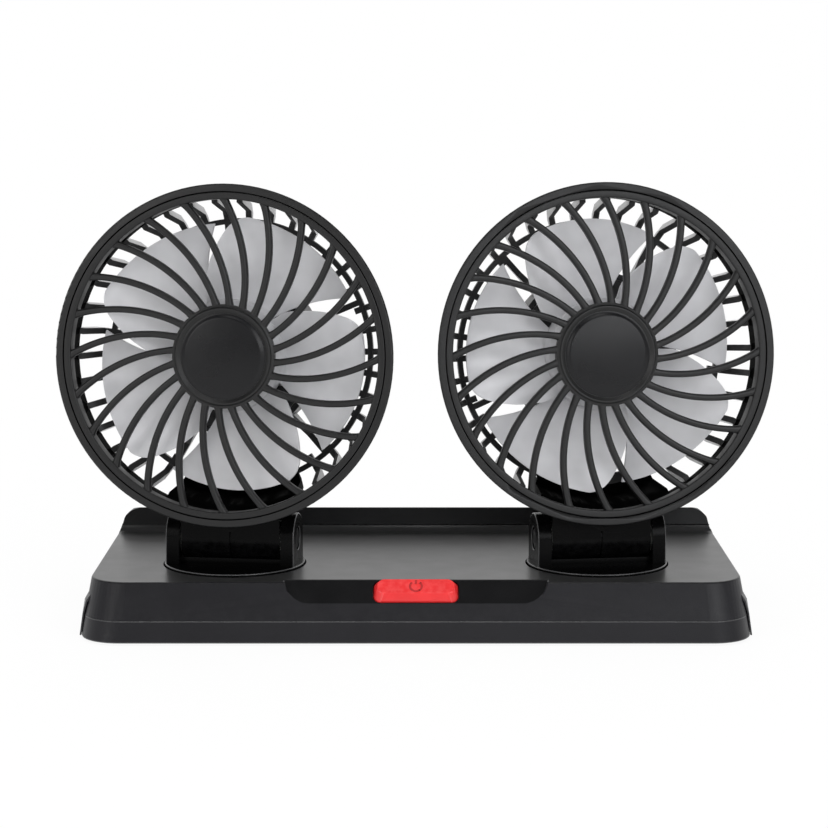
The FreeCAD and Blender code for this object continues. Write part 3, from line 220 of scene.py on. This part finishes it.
metalFinishes = {
    "steel": dict(colour=(0.58, 0.58, 0.6), dull=(0.36, 0.36, 0.37), rough=(0.24, 0.42),
                  stretch=(1.0, 1.0, 14.0)),
    "blackened_steel": dict(colour=(0.035, 0.035, 0.037), dull=(0.018, 0.018, 0.019), rough=(0.34, 0.5),
                            stretch=(1.0, 1.0, 14.0)),
    "motor_steel": dict(colour=(0.5, 0.5, 0.52), dull=(0.34, 0.34, 0.36), rough=(0.28, 0.46),
                        stretch=(1.0, 16.0, 1.0)),
    "bush_brass": dict(colour=(0.68, 0.49, 0.22), dull=(0.4, 0.28, 0.12), rough=(0.26, 0.44),
                       stretch=(1.0, 10.0, 1.0)),
}


finishLook = dict(shade=0.86, cloud=(0.3, 0.7), dust=(0.42, 0.41, 0.39), ior=1.5, sheenRough=0.5)
metalLook = dict(lines=900.0, detail=4.0, tone=(0.35, 0.65), cloud=(0.3, 0.7), bright=1.15, depth=0.02)


def mixColour(tree, mask, first, second):
    made = addNode(tree, "Mix", data_type="RGBA")
    wire(tree, mask, made.inputs["Factor"])
    for socket, value in ((made.inputs[6], first), (made.inputs[7], second)):  # its colour sockets
        if isinstance(value, tuple):
            socket.default_value = (*value, 1.0)
        else:
            wire(tree, value, socket)
    return made.outputs[2]


def newFinish(name):
    finish = bpy.data.materials.new(name)
    finish.use_nodes = True
    shader = finish.node_tree.nodes["Principled BSDF"]
    return finish, finish.node_tree, shader


def plasticFinish(name, colour, rubbed, rough, grain, depth, rub, dust, gloss=0.5, sheen=0.0):
    look = finishLook
    finish, tree, shader = newFinish(name)
    texture = useGroup(tree, mouldGrain, Scale=grain)
    worn = useGroup(tree, edgeRub)
    cloud = texture.outputs["Cloud"]
    shade = tuple(channel * look["shade"] for channel in colour)
    body = mixColour(tree, rangeNode(tree, cloud, *look["cloud"], 0.0, 1.0), shade, colour)
    body = mixColour(tree, mathNode(tree, "MULTIPLY", worn.outputs["Mask"], rub), body, rubbed)
    if dust:
        film = useGroup(tree, settledDust, Amount=dust)
        body = mixColour(tree, film.outputs["Mask"], body, look["dust"])
    wire(tree, body, shader.inputs["Base Color"])
    wire(tree, rangeNode(tree, cloud, *look["cloud"], *rough), shader.inputs["Roughness"])
    bump = addNode(tree, "Bump")
    bump.inputs["Strength"].default_value = 1.0
    bump.inputs["Distance"].default_value = depth * mm
    wire(tree, texture.outputs["Height"], bump.inputs["Height"])
    wire(tree, bump.outputs["Normal"], shader.inputs["Normal"])
    shader.inputs["IOR"].default_value = look["ior"]
    shader.inputs["Specular IOR Level"].default_value = gloss
    shader.inputs["Sheen Weight"].default_value = sheen
    shader.inputs["Sheen Roughness"].default_value = look["sheenRough"]
    return finish


def metalFinish(name, colour, dull, rough, stretch):
    look = metalLook
    finish, tree, shader = newFinish(name)
    lines = noiseNode(tree, look["lines"], look["detail"], stretch)
    worn = useGroup(tree, edgeRub)
    tone = mixColour(tree, rangeNode(tree, lines, *look["tone"], 0.0, 1.0), dull, colour)
    bright = tuple(min(1.0, channel * look["bright"]) for channel in colour)
    wire(tree, mixColour(tree, worn.outputs["Mask"], tone, bright), shader.inputs["Base Color"])
    wire(tree, rangeNode(tree, lines, *look["cloud"], *rough), shader.inputs["Roughness"])
    shader.inputs["Metallic"].default_value = 1.0
    bump = addNode(tree, "Bump")
    bump.inputs["Distance"].default_value = look["depth"] * mm
    wire(tree, lines, bump.inputs["Height"])
    wire(tree, bump.outputs["Normal"], shader.inputs["Normal"])
    return finish


finishes = {name: plasticFinish(name, **given) for name, given in plasticFinishes.items()}
finishes.update({name: metalFinish(name, **given) for name, given in metalFinishes.items()})
slotOfNode = {part["node"]: part["material_slot"] for part in frame["record"]["subparts"]}
finishOfNode = dict(slotOfNode)
for side in sides:
    for name in ("tilt_pin", "tilt_nut"):  # the hinge hardware is blackened
        finishOfNode[side + "_" + name] = "blackened_steel"
    # the yoke takes the darker hinge finish, which paints the shade it lies in
    finishOfNode[side + "_swivel_yoke"] = "hinge_plastic_painted_shade"
    finishOfNode[side + "_motor_holder"] = "cage_plastic"
for name, thing in nodes.items():
    thing.data.materials.clear()
    thing.data.materials.append(finishes[finishOfNode[name]])
print("finishes made:", len(finishes))


# mesh helpers

meshCare = dict(weld=0.001, nodeWeld=0.002,  # mm
                flat=0.6, sharp=30,  # degrees
                room=0.6, segments=3)  # least room for a soft edge, in edge widths, and its steps
dressed = []  # pieces that keep the shape of their node


def newPiece(name, mesh, finish):
    piece = bpy.data.objects.new(name, mesh)
    bpy.context.scene.collection.objects.link(piece)
    mesh.materials.clear()
    mesh.materials.append(finishes[finish])
    return piece


def smoothMesh(mesh, degrees):
    mesh.polygons.foreach_set("use_smooth", [True] * len(mesh.polygons))
    mesh.set_sharp_from_angle(angle=math.radians(degrees))
    mesh.update()


def softenEdges(piece, width, highlightFinish=None):
    bevel = piece.modifiers.new("softEdge", "BEVEL")
    if highlightFinish:  # a lighter finish on the soft edges paints a highlight along them
        piece.data.materials.append(finishes[highlightFinish])
        bevel.material = len(piece.data.materials) - 1
    bevel.width = width * mm
    bevel.segments = meshCare["segments"]
    bevel.limit_method = "WEIGHT"
    bevel.use_clamp_overlap = False
    normals = piece.modifiers.new("evenNormals", "WEIGHTED_NORMAL")
    normals.keep_sharp = True


def faceRoom(face):  # about the breadth of a face, which a soft edge has to fit in
    return 2 * face.calc_area() / face.calc_perimeter() / mm


def markSoftEdges(work, width, crisp=None):  # the outer edges that the soft edge goes on
    weight = work.edges.layers.float.new("bevel_weight_edge")
    for edge in work.edges:
        if not edge.is_manifold or edge.calc_face_angle() < math.radians(meshCare["sharp"]):
            continue
        if not edge.is_convex or min(faceRoom(face) for face in edge.link_faces) < meshCare["room"] * width:
            continue
        if crisp and all(crisp(corner.co / mm) for corner in edge.verts):
            continue
        edge[weight] = 1.0


def dressNode(node, body, width, highlightFinish=None, crisp=None):  # the node's shape with soft edges
    work = bmesh.new()
    work.from_mesh(nodes[node].data)
    bmesh.ops.remove_doubles(work, verts=work.verts, dist=meshCare["nodeWeld"] * mm)
    flat = math.radians(meshCare["flat"])
    bmesh.ops.dissolve_limit(work, angle_limit=flat, verts=work.verts, edges=work.edges)
    bmesh.ops.recalc_face_normals(work, faces=work.faces)
    markSoftEdges(work, width, crisp)
    mesh = bpy.data.meshes.new(node + "_dressed")
    work.to_mesh(mesh)
    work.free()
    piece = newPiece(node + "_dressed", mesh, finishOfNode[node])
    smoothMesh(mesh, meshCare["sharp"])
    if width:
        softenEdges(piece, width, highlightFinish)
    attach(piece, body)
    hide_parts(node)
    dressed.append(piece)
    return piece


def latheInto(work, profile, steps):  # profile of (depth, radius), turned about the fan axis
    rings = []
    for depth, radius in profile:
        if radius == 0.0:
            rings.append([work.verts.new((0.0, depth * mm, 0.0))] * steps)
            continue
        ring = []
        spread = radius * mm
        for step in range(steps):
            angle = 2 * math.pi * step / steps
            ring.append(work.verts.new((spread * math.cos(angle), depth * mm, spread * math.sin(angle))))
        rings.append(ring)
    for first, second in zip(rings, rings[1:]):
        for step in range(steps):
            after = (step + 1) % steps
            corners = []
            for corner in (first[step], first[after], second[after], second[step]):
                if corner not in corners:
                    corners.append(corner)
            if len(corners) > 2:
                work.faces.new(corners)


def roundedProfile(points, radii, steps=4):  # corners of a profile rounded by short arcs
    out = []
    count = len(points)
    for index, radius in enumerate(radii):
        corner = Vector(points[index])
        if not radius:
            out.append(tuple(corner))
            continue
        back = (Vector(points[index - 1]) - corner).normalized()
        ahead = (Vector(points[(index + 1) % count]) - corner).normalized()
        half = back.angle(ahead) / 2
        start = corner + back * radius / math.tan(half)
        end = corner + ahead * radius / math.tan(half)
        for step in range(steps + 1):
            share = step / steps
            out.append(tuple(start.lerp(corner, share).lerp(corner.lerp(end, share), share)))
    return out


def softStep(start, end, steps=10):  # points (depth, radius) that leave and arrive level
    out = []
    for step in range(steps + 1):
        share = step / steps
        eased = share * share * (3 - 2 * share)
        out.append((start[0] + (end[0] - start[0]) * eased, start[1] + (end[1] - start[1]) * share))
    return out


def headMatrix(side):  # the fan centre, with Y along the axis to the back and Z up the head
    across = -Vector(joints[side + "_tilt"]["axis"])
    back = -Vector(joints[side + "_fan_spin"]["axis"])
    matrix = Matrix((across, back, across.cross(back))).transposed().to_4x4()
    matrix.translation = Vector(joints[side + "_fan_spin"]["pos_m"])
    return matrix


def finishMesh(work, name, matrix, degrees):
    bmesh.ops.remove_doubles(work, verts=work.verts, dist=meshCare["weld"] * mm)
    bmesh.ops.recalc_face_normals(work, faces=work.faces)
    work.transform(matrix)
    mesh = bpy.data.meshes.new(name)
    work.to_mesh(mesh)
    work.free()
    smoothMesh(mesh, degrees)
    return mesh


# front guards

guardShape = dict(front=-22.0, outer=59.65, inner=57.05, depth=5.5, rounds=(0.7, 0.45, 0.2, 0.3), steps=192,
                  edgeWidth=0.5, edgeDepth=0.7, sharp=40)
hubShape = dict(radius=19.0, lip=17.5, lipWidth=0.4, seat=15.78, seatEdge=0.1, proud=0.4, depth=4.0,
                seatDrop=1.6, valley=0.9, skirt=1.0, shoulder=(0.8, 0.5), rise=(0.7, 0.8), riseSteps=6,
                skirtRounds=(0, 0.4, 0.15, 0), lipRounds=(0, 0.5, 0.1, 0), steps=128)
spokeShape = dict(count=24, sweep=21.0, width=2.4, depth=2.6, setback=0.5, rootIn=1.0, tipOut=0.9, steps=26,
                  flare=0.25, flareMost=1.6, flareRing=0.9, flareHub=0.8,
                  section=[(-1.0, 1.0), (-1.0, 0.34), (-0.86, 0.14), (-0.55, 0.02), (0.0, 0.0), (0.55, 0.02),
                           (0.86, 0.14), (1.0, 0.34), (1.0, 1.0)],  # parts of the half width and of the depth
                  paintedHighlight=(1, 2, 5, 6))  # sides of the section that carry a painted highlight


def spokeInto(work, turn):
    shape = spokeShape
    ring = guardShape["inner"]
    hub = hubShape["radius"]
    root = hub - shape["rootIn"]
    tip = ring + shape["tipOut"]
    rate = shape["sweep"] / (ring - hub)
    front = guardShape["front"] + shape["setback"]
    half = shape["width"] / 2
    section = shape["section"]
    steps = shape["steps"]
    rows = []
    for step in range(steps + 1):
        radius = root + (tip - root) * step / steps
        angle = math.radians(turn + rate * (radius - ring))
        slope = math.atan(radius * math.radians(rate))
        along = angle + slope
        centre = Vector((radius * math.cos(angle), radius * math.sin(angle)))
        side = Vector((-math.sin(along), math.cos(along)))
        flare = math.exp((radius - ring) / shape["flareRing"]) + math.exp((hub - radius) / shape["flareHub"])
        reach = half + shape["flare"] * min(flare, shape["flareMost"])
        row = []
        for across, deep in section:
            spot = centre + side * across * reach
            row.append(work.verts.new((spot.x * mm, (front + deep * shape["depth"]) * mm, spot.y * mm)))
        rows.append(row)
    count = len(section)
    for first, second in zip(rows, rows[1:]):
        for index in range(count):
            after = (index + 1) % count
            face = work.faces.new((first[index], first[after], second[after], second[index]))
            if index in shape["paintedHighlight"]:
                face.material_index = 1
    work.faces.new(rows[0])
    work.faces.new(rows[-1])


def ringInto(work):  # its inner front edge carries a painted highlight
    shape = guardShape
    front = shape["front"]
    back = front + shape["depth"]
    ring = [(front, shape["inner"]), (front, shape["outer"]), (back, shape["outer"]), (back, shape["inner"])]
    closed = roundedProfile(ring, shape["rounds"])
    latheInto(work, closed + closed[:1], shape["steps"])
    for face in work.faces:
        spot = face.calc_center_median() / mm
        inside = math.hypot(spot.x, spot.z) < shape["inner"] + shape["edgeWidth"]
        if inside and spot.y < front + shape["edgeDepth"]:
            face.material_index = 1


def hubInto(work):  # the slope inside its lip carries a painted highlight
    shape = hubShape
    face = guardShape["front"] - shape["proud"]
    back = face + shape["depth"]
    valley = face + shape["valley"]
    drop = face + shape["seatDrop"]
    shoulderDrop, shoulderIn = shape["shoulder"]
    riseDrop, riseIn = shape["rise"]
    skirt = [(back, 0.0), (back, shape["radius"]), (face + shape["skirt"], shape["radius"]),
             (face + shoulderDrop, shape["radius"] - shoulderIn)]
    lip = [(face, shape["lip"]), (face, shape["lip"] - shape["lipWidth"]),
           (valley, shape["seat"] + shape["seatEdge"]), (valley, shape["seat"])]
    profile = roundedProfile(skirt, shape["skirtRounds"])
    profile += softStep((face + riseDrop, shape["radius"] - riseIn), lip[0], shape["riseSteps"])
    profile += roundedProfile(lip, shape["lipRounds"])
    profile += [(drop, shape["seat"]), (drop, 0.0)]
    known = set(work.faces)
    latheInto(work, profile, shape["steps"])
    for made in set(work.faces) - known:
        spot = made.calc_center_median() / mm
        if shape["seat"] < math.hypot(spot.x, spot.z) < shape["lip"] and spot.y < valley:
            made.material_index = 1


def frontGuard(side):
    work = bmesh.new()
    ringInto(work)
    for index in range(spokeShape["count"]):
        spokeInto(work, 360.0 * index / spokeShape["count"])
    hubInto(work)
    node = side + "_front_guard"
    mesh = finishMesh(work, node, headMatrix(side), guardShape["sharp"])
    piece = newPiece(node + "_moulding", mesh, "guard_plastic")
    piece.data.materials.append(finishes["guard_painted_highlight"])
    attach(piece, side + "_head")
    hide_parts(node)


capShape = dict(seat=-20.8, radius=15.75, valley=-21.5, shoulder=2.0, face=-22.2, dome=0.6, domeSteps=10,
                steps=128, sharp=50)


def centreCap(side):
    shape = capShape
    work = bmesh.new()
    flat = shape["radius"] - shape["shoulder"]
    profile = [(shape["seat"], 0.0), (shape["seat"], shape["radius"])]
    profile += softStep((shape["valley"], shape["radius"]), (shape["face"], flat))
    for step in range(1, shape["domeSteps"] + 1):  # slight dome in the middle
        share = step / shape["domeSteps"]
        profile.append((shape["face"] - shape["dome"] * (1 - (1 - share) ** 2), flat * (1 - share)))
    latheInto(work, profile, shape["steps"])
    node = side + "_centre_cap"
    piece = newPiece(node + "_disc", finishMesh(work, node, headMatrix(side), shape["sharp"]), "cap_plastic")
    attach(piece, side + "_head")
    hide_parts(node)


for side in sides:
    frontGuard(side)
    centreCap(side)
print("front guards and caps made")


# pieces that keep the CAD shape and get soft edges: node, body, edge width in mm, finish of the edge, which paints
# a highlight on it

softEdges = [("base_bottom_cover", "base", 0.5, "edge_painted_highlight"), ("power_button", "button", 0.8, None),
             ("anti_slip_pad", "base", 0.25, None), ("cable_gland", "base", 0.3, None),
             ("cover_screws", "base", 0.2, None)]
for side in sides:
    softEdges += [(side + "_fan_rotor", side + "_rotor", 0.2, None),
                  (side + "_tilt_pin", side + "_swivel", 0.25, None),
                  (side + "_tilt_nut", side + "_swivel", 0.2, None),
                  (side + "_motor", side + "_head", 0.4, None),
                  (side + "_motor_holder", side + "_head", 0.2, None),
                  (side + "_motor_screws", side + "_head", 0.15, None)]
for node, body, width, highlightFinish in softEdges:
    dressNode(node, body, width, highlightFinish)


def swivelYoke(side):  # soft edges with a painted highlight on the disc and outside the ears, none between the ears
    shape = dict(edge=0.3, earInside=19.4, discInside=25.5, discTop=22.6)
    low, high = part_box(side + "_swivel_yoke")
    centre = (low + high) / 2 / mm
    earAxis = headMatrix(side).to_3x3() @ Vector((1.0, 0.0, 0.0))

    def crisp(spot):
        offset = spot - centre
        onDisc = math.hypot(offset.x, offset.y) < shape["discInside"] and spot.z > shape["discTop"]
        return onDisc and abs(offset.dot(earAxis)) < shape["earInside"]

    dressNode(side + "_swivel_yoke", side + "_swivel", shape["edge"], "edge_painted_highlight", crisp)


def rearGuard(side):  # rim, cup and back ring match the front guard, the ribs catch more light; the rim's inside wall, the saddle and the neck get blacker finishes as painted shade
    zones = dict(rimBack=-7.6, rimInside=57.2, inward=-0.5, neckFront=-8.6, neckTop=-60.0, saddleTop=-45.0,
                 saddleHalf=26.0, cup=31.3, ringFront=8.9)
    piece = dressNode(side + "_rear_guard", side + "_head", 0.0)
    for finish in ("cage_plastic", "shaded_plastic", "hinge_plastic_painted_shade"):
        piece.data.materials.append(finishes[finish])
    plain, rib, shaded, neck = range(4)  # places of the finishes on the piece
    toHead = headMatrix(side).inverted()
    spots = [toHead @ corner.co / mm for corner in piece.data.vertices]
    for face in piece.data.polygons:
        corners = [spots[index] for index in face.vertices]
        reach = [math.hypot(spot.x, spot.z) for spot in corners]
        depths = [spot.y for spot in corners]
        heights = [spot.z for spot in corners]
        outward = Vector((corners[0].x, 0.0, corners[0].z)).normalized()
        facing = (toHead.to_3x3() @ face.normal).dot(outward)
        sideways = max(abs(spot.x) for spot in corners)
        # the neck, the rim's inside wall and the saddle get blacker copies of the plastic: painted shade
        if min(heights) < zones["neckTop"] and min(depths) > zones["neckFront"]:
            face.material_index = neck
        elif min(reach) > zones["rimInside"] and max(depths) < zones["rimBack"]:
            face.material_index = shaded if facing < zones["inward"] else plain
        elif max(heights) < zones["saddleTop"] and sideways < zones["saddleHalf"]:
            face.material_index = shaded
        elif max(reach) < zones["cup"] or min(depths) > zones["ringFront"]:
            face.material_index = plain
        else:
            face.material_index = rib


def topCover():  # the deck is paler than the front as painted light from above, the recess and wall darker as painted shade; edges along gaps stay crisp
    shape = dict(softEdge=0.5, swivelX=67.9, swivelY=-15.6, well=26.8, wellRoom=0.4, mouth=16.6,
                 mouthBack=-38.0, mouthTop=21.5, back=54.0, glandRoom=0.6, partingRoom=0.05)
    zones = dict(deckLow=21.6, deckHigh=24.2, upward=0.3, recessFacing=48.0, along=0.99, wallFoot=40.0,
                 forward=-0.7)
    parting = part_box("base_bottom_cover")[1].z / mm
    glandLow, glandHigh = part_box("cable_gland")
    gland = (glandLow + glandHigh) / 2 / mm
    glandReach = (glandHigh.x - glandLow.x) / 2 / mm + shape["glandRoom"]

    def crisp(spot):
        fromSwivel = math.hypot(abs(spot.x) - shape["swivelX"], spot.y - shape["swivelY"])
        atWell = abs(fromSwivel - shape["well"]) < shape["wellRoom"]
        atMouth = abs(spot.x) < shape["mouth"] and spot.y < shape["mouthBack"] and spot.z < shape["mouthTop"]
        atGland = spot.y > shape["back"] and math.hypot(spot.x - gland.x, spot.z - gland.z) < glandReach
        return atWell or atMouth or atGland or abs(spot.z - parting) < shape["partingRoom"]

    piece = dressNode("base_top_cover", "base", shape["softEdge"], crisp=crisp)
    piece.data.materials.append(finishes["deck_painted_light"])
    piece.data.materials.append(finishes["recess_painted_shade"])
    plain, deck, recess = range(3)  # places of the finishes on the piece
    slant = math.radians(zones["recessFacing"])
    intoRecess = Vector((0.0, -math.cos(slant), math.sin(slant)))
    for face in piece.data.polygons:
        onWall = face.normal.y < zones["forward"] and face.center.y / mm > zones["wallFoot"]
        # faces that look up on the deck get the paler finish, painted light
        if face.normal.z > zones["upward"] and zones["deckLow"] < face.center.z / mm < zones["deckHigh"]:
            face.material_index = deck
        # the recess and the wall get the darker finish, painted shade
        elif face.normal.dot(intoRecess) > zones["along"] or onWall:
            face.material_index = recess
        else:
            face.material_index = plain


for side in sides:
    swivelYoke(side)
    rearGuard(side)
topCover()
print("CAD shapes dressed:", len(dressed))


# end trims: a strip that follows the rounded end of the base, with a dark slit between them

baseEnd = dict(half=120.8, depth=56.5, corner=15.0, crestCorner=13.5, flare=1.2, floor=0.8, parting=8.9,
               deck=21.8, crest=30.8, endSlope=2.1, frontSlope=5.8)
trimShape = dict(length=90.0, bottom=0.9, top=16.2, slitTop=13.4, crown=2.4, gap=0.3, thickness=0.7,
                 stations=24, edge=0.2)


def endFace(across, height):  # how far out the end of the base is, at a depth and a height
    above = max(0.0, height - baseEnd["parting"])
    below = max(0.0, baseEnd["parting"] - height)
    climb = above / (baseEnd["deck"] - baseEnd["parting"])
    flare = baseEnd["flare"] * below / (baseEnd["parting"] - baseEnd["floor"])
    narrowing = (baseEnd["corner"] - baseEnd["crestCorner"]) * above / (baseEnd["crest"] - baseEnd["parting"])
    corner = baseEnd["corner"] - narrowing + flare
    depth = baseEnd["depth"] + flare
    if across < 0.0:
        depth -= baseEnd["frontSlope"] * climb
    past = max(0.0, abs(across) - (depth - corner))
    straight = baseEnd["half"] + flare - baseEnd["endSlope"] * climb
    return straight - corner + math.sqrt(corner ** 2 - past ** 2)


def endTrim(side):
    shape = trimShape
    outside = shape["gap"] + shape["thickness"]
    profile = [(shape["bottom"], shape["gap"]), (shape["bottom"], outside), (baseEnd["parting"], outside),
               (shape["top"] - shape["crown"], outside), (shape["top"], 0.0), (shape["slitTop"], 0.0),
               (shape["slitTop"], shape["gap"]), (baseEnd["parting"], shape["gap"])]
    facing = 1 if side == "right" else -1
    work = bmesh.new()
    rows = []
    for station in range(shape["stations"] + 1):
        across = shape["length"] * (station / shape["stations"] - 0.5)
        rows.append([work.verts.new((facing * (endFace(across, height) + out) * mm, across * mm, height * mm))
                     for height, out in profile])
    for first, second in zip(rows, rows[1:]):
        for here in range(len(profile)):
            after = (here + 1) % len(profile)
            work.faces.new((first[here], first[after], second[after], second[here]))
    work.faces.new(rows[0])
    work.faces.new(rows[-1])
    bmesh.ops.recalc_face_normals(work, faces=work.faces)
    markSoftEdges(work, shape["edge"])
    mesh = finishMesh(work, side + "_end_strip", Matrix.Identity(4), meshCare["sharp"])
    node = side + "_end_trim"
    piece = newPiece(side + "_end_strip", mesh, finishOfNode[node])
    softenEdges(piece, shape["edge"])
    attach(piece, "base")
    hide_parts(node)


for side in sides:
    endTrim(side)
print("end trims made")


# power mark on the button, in the slanted frame of the recess

markShape = dict(tilt=42.0, originY=-45.9, originZ=21.8, face=2.2, centre=-4.5, radius=2.15, line=0.8,
                 gap=40.0, barLow=1.0, barHigh=2.7, proud=0.04, sunk=0.2, steps=40)


def powerMark():
    shape = markShape
    work = bmesh.new()
    steps = shape["steps"]
    top = shape["face"] + shape["proud"]
    low = shape["face"] - shape["sunk"]

    def prism(points):
        upper = [work.verts.new((x * mm, (shape["centre"] + y) * mm, top * mm)) for x, y in points]
        lower = [work.verts.new((x * mm, (shape["centre"] + y) * mm, low * mm)) for x, y in points]
        work.faces.new(upper)
        work.faces.new(lower[::-1])
        for index in range(len(points)):
            after = (index + 1) % len(points)
            work.faces.new((upper[index], lower[index], lower[after], upper[after]))

    def arcPoint(radius, share):
        angle = math.radians(90 + shape["gap"] + share * (360 - 2 * shape["gap"]))
        return radius * math.cos(angle), radius * math.sin(angle)

    inside = shape["radius"] - shape["line"] / 2
    outside = shape["radius"] + shape["line"] / 2
    for step in range(steps):
        ends = (step / steps, (step + 1) / steps)
        prism([arcPoint(inside, ends[0]), arcPoint(inside, ends[1]), arcPoint(outside, ends[1]),
               arcPoint(outside, ends[0])])
    half = shape["line"] / 2
    barLow, barHigh = shape["barLow"], shape["barHigh"]
    prism([(-half, barLow), (half, barLow), (half, barHigh), (-half, barHigh)])
    matrix = Matrix.Translation((0.0, shape["originY"] * mm, shape["originZ"] * mm))
    matrix = matrix @ Matrix.Rotation(math.radians(shape["tilt"]), 4, "X")
    piece = newPiece("power_mark", finishMesh(work, "power_mark", matrix, meshCare["sharp"]), "button_mark")
    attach(piece, "button")


powerMark()
print("power mark made")


# floor, light and camera

stageSetup = dict(floorSize=30.0, floorDrop=0.1, paper=(0.95, 0.95, 0.95), glow=(0.93, 1.0),
                  glowSpan=(0.2, 0.55), ambient=0.75, horizon=(0.25, 0.75), zenith=0.05, frontLevel=0.42,
                  frontSpan=(-0.5, 0.35))
lamps = [dict(name="rightBox", spot=(0.9, -1.15, 0.75), aim=(0.0, 0.0, 0.09), size=(0.85, 0.85), power=6.6,
              tint=(0.97, 0.98, 1.0)),
         dict(name="leftBox", spot=(-1.0, -1.1, 0.65), aim=(0.0, 0.0, 0.09), size=(0.85, 0.85), power=4.4,
              tint=(1.0, 0.99, 0.98)),
         dict(name="frontBox", spot=(0.35, -1.5, 0.5), aim=(0.0, 0.0, 0.1), size=(0.6, 0.3), power=1.9,
              tint=(0.96, 0.98, 1.0)),
         dict(name="topStrip", spot=(0.0, -0.78, 1.47), aim=(0.0, -0.03, 0.06), size=(0.9, 0.2), power=3.5,
              tint=(1.0, 1.0, 1.0)),
         dict(name="backBox", spot=(0.0, 1.15, 0.95), aim=(0.0, 0.0, 0.04), size=(1.4, 0.6), power=3.5,
              tint=(1.0, 1.0, 1.0))]
cameraSetup = dict(spot=(-0.00069, -0.8816, 0.2037), pitch=8.25, lens=102.23, sensor=36.0, farEnd=50.0)


def seenDirectly(tree):  # camera, mirror and see-through rays
    path = addNode(tree, "LightPath")
    both = mathNode(tree, "MAXIMUM", path.outputs["Is Camera Ray"], path.outputs["Is Glossy Ray"])
    return mathNode(tree, "MAXIMUM", both, path.outputs["Is Transmission Ray"])


def floorGlow(tree):  # pure white away from the object, a little open to its shadow near it
    spot = addNode(tree, "VectorMath", operation="LENGTH")
    wire(tree, addNode(tree, "TexCoord").outputs["Object"], spot.inputs[0])
    amount = rangeNode(tree, spot.outputs["Value"], *stageSetup["glowSpan"], *stageSetup["glow"])
    return mathNode(tree, "MULTIPLY", seenDirectly(tree), amount)


def makeFloor():
    half = stageSetup["floorSize"] / 2
    mesh = bpy.data.meshes.new("floor")
    corners = [(-half, -half, 0), (half, -half, 0), (half, half, 0), (-half, half, 0)]
    mesh.from_pydata(corners, [], [(0, 1, 2, 3)])
    floor = bpy.data.objects.new("floor", mesh)
    floor.location.z = -stageSetup["floorDrop"] * mm
    bpy.context.scene.collection.objects.link(floor)
    finish = bpy.data.materials.new("paper")
    finish.use_nodes = True
    tree = finish.node_tree
    tree.nodes.clear()
    paper = addNode(tree, "BsdfDiffuse")
    paper.inputs["Color"].default_value = (*stageSetup["paper"], 1.0)
    white = addNode(tree, "Emission")
    mixed = addNode(tree, "MixShader")
    wire(tree, floorGlow(tree), mixed.inputs["Fac"])
    wire(tree, paper.outputs[0], mixed.inputs[1])
    wire(tree, white.outputs[0], mixed.inputs[2])
    wire(tree, mixed.outputs[0], addNode(tree, "OutputMaterial").inputs["Surface"])
    mesh.materials.append(finish)


def makeWorld():  # white all round at the horizon, dimmer in front and overhead
    world = bpy.data.worlds.new("studio")
    bpy.context.scene.world = world
    world.use_nodes = True
    tree = world.node_tree
    backdrop = tree.nodes["Background"]
    backdrop.inputs["Color"].default_value = (1.0, 1.0, 1.0, 1.0)
    toward = addNode(tree, "SeparateXYZ")
    wire(tree, addNode(tree, "TexCoord").outputs["Generated"], toward.inputs[0])
    low, high = stageSetup["horizon"]
    height = rangeNode(tree, toward.outputs["Z"], low, high, 1.0, stageSetup["zenith"])
    near, far = stageSetup["frontSpan"]
    around = rangeNode(tree, toward.outputs["Y"], near, far, stageSetup["frontLevel"], 1.0)
    room = mathNode(tree, "MULTIPLY", height, around)
    path = addNode(tree, "LightPath")
    seen = mathNode(tree, "MAXIMUM", path.outputs["Is Camera Ray"], path.outputs["Is Transmission Ray"])
    level = rangeNode(tree, path.outputs["Is Glossy Ray"], 0.0, 1.0, stageSetup["ambient"], room)
    wire(tree, rangeNode(tree, seen, 0.0, 1.0, level, 1.0), backdrop.inputs["Strength"])


def makeLamps():
    for given in lamps:
        light = bpy.data.lights.new(given["name"], "AREA")
        light.shape = "RECTANGLE"
        light.size, light.size_y = given["size"]
        light.energy = given["power"]
        light.color = given["tint"]
        lamp = bpy.data.objects.new(given["name"], light)
        lamp.location = given["spot"]
        aim = Vector(given["aim"]) - Vector(given["spot"])
        lamp.rotation_euler = aim.to_track_quat("-Z", "Y").to_euler()
        bpy.context.scene.collection.objects.link(lamp)


def makeCamera():
    lens = bpy.data.cameras.new("photoCamera")
    lens.lens = cameraSetup["lens"]
    lens.sensor_width = cameraSetup["sensor"]
    lens.clip_end = cameraSetup["farEnd"]
    camera = bpy.data.objects.new("photoCamera", lens)
    camera.location = cameraSetup["spot"]
    camera.rotation_euler = (math.radians(90 - cameraSetup["pitch"]), 0.0, 0.0)
    bpy.context.scene.collection.objects.link(camera)
    bpy.context.scene.camera = camera


makeFloor()
makeWorld()
makeLamps()
makeCamera()
bpy.context.scene.view_settings.view_transform = "Standard"
print("stage made")
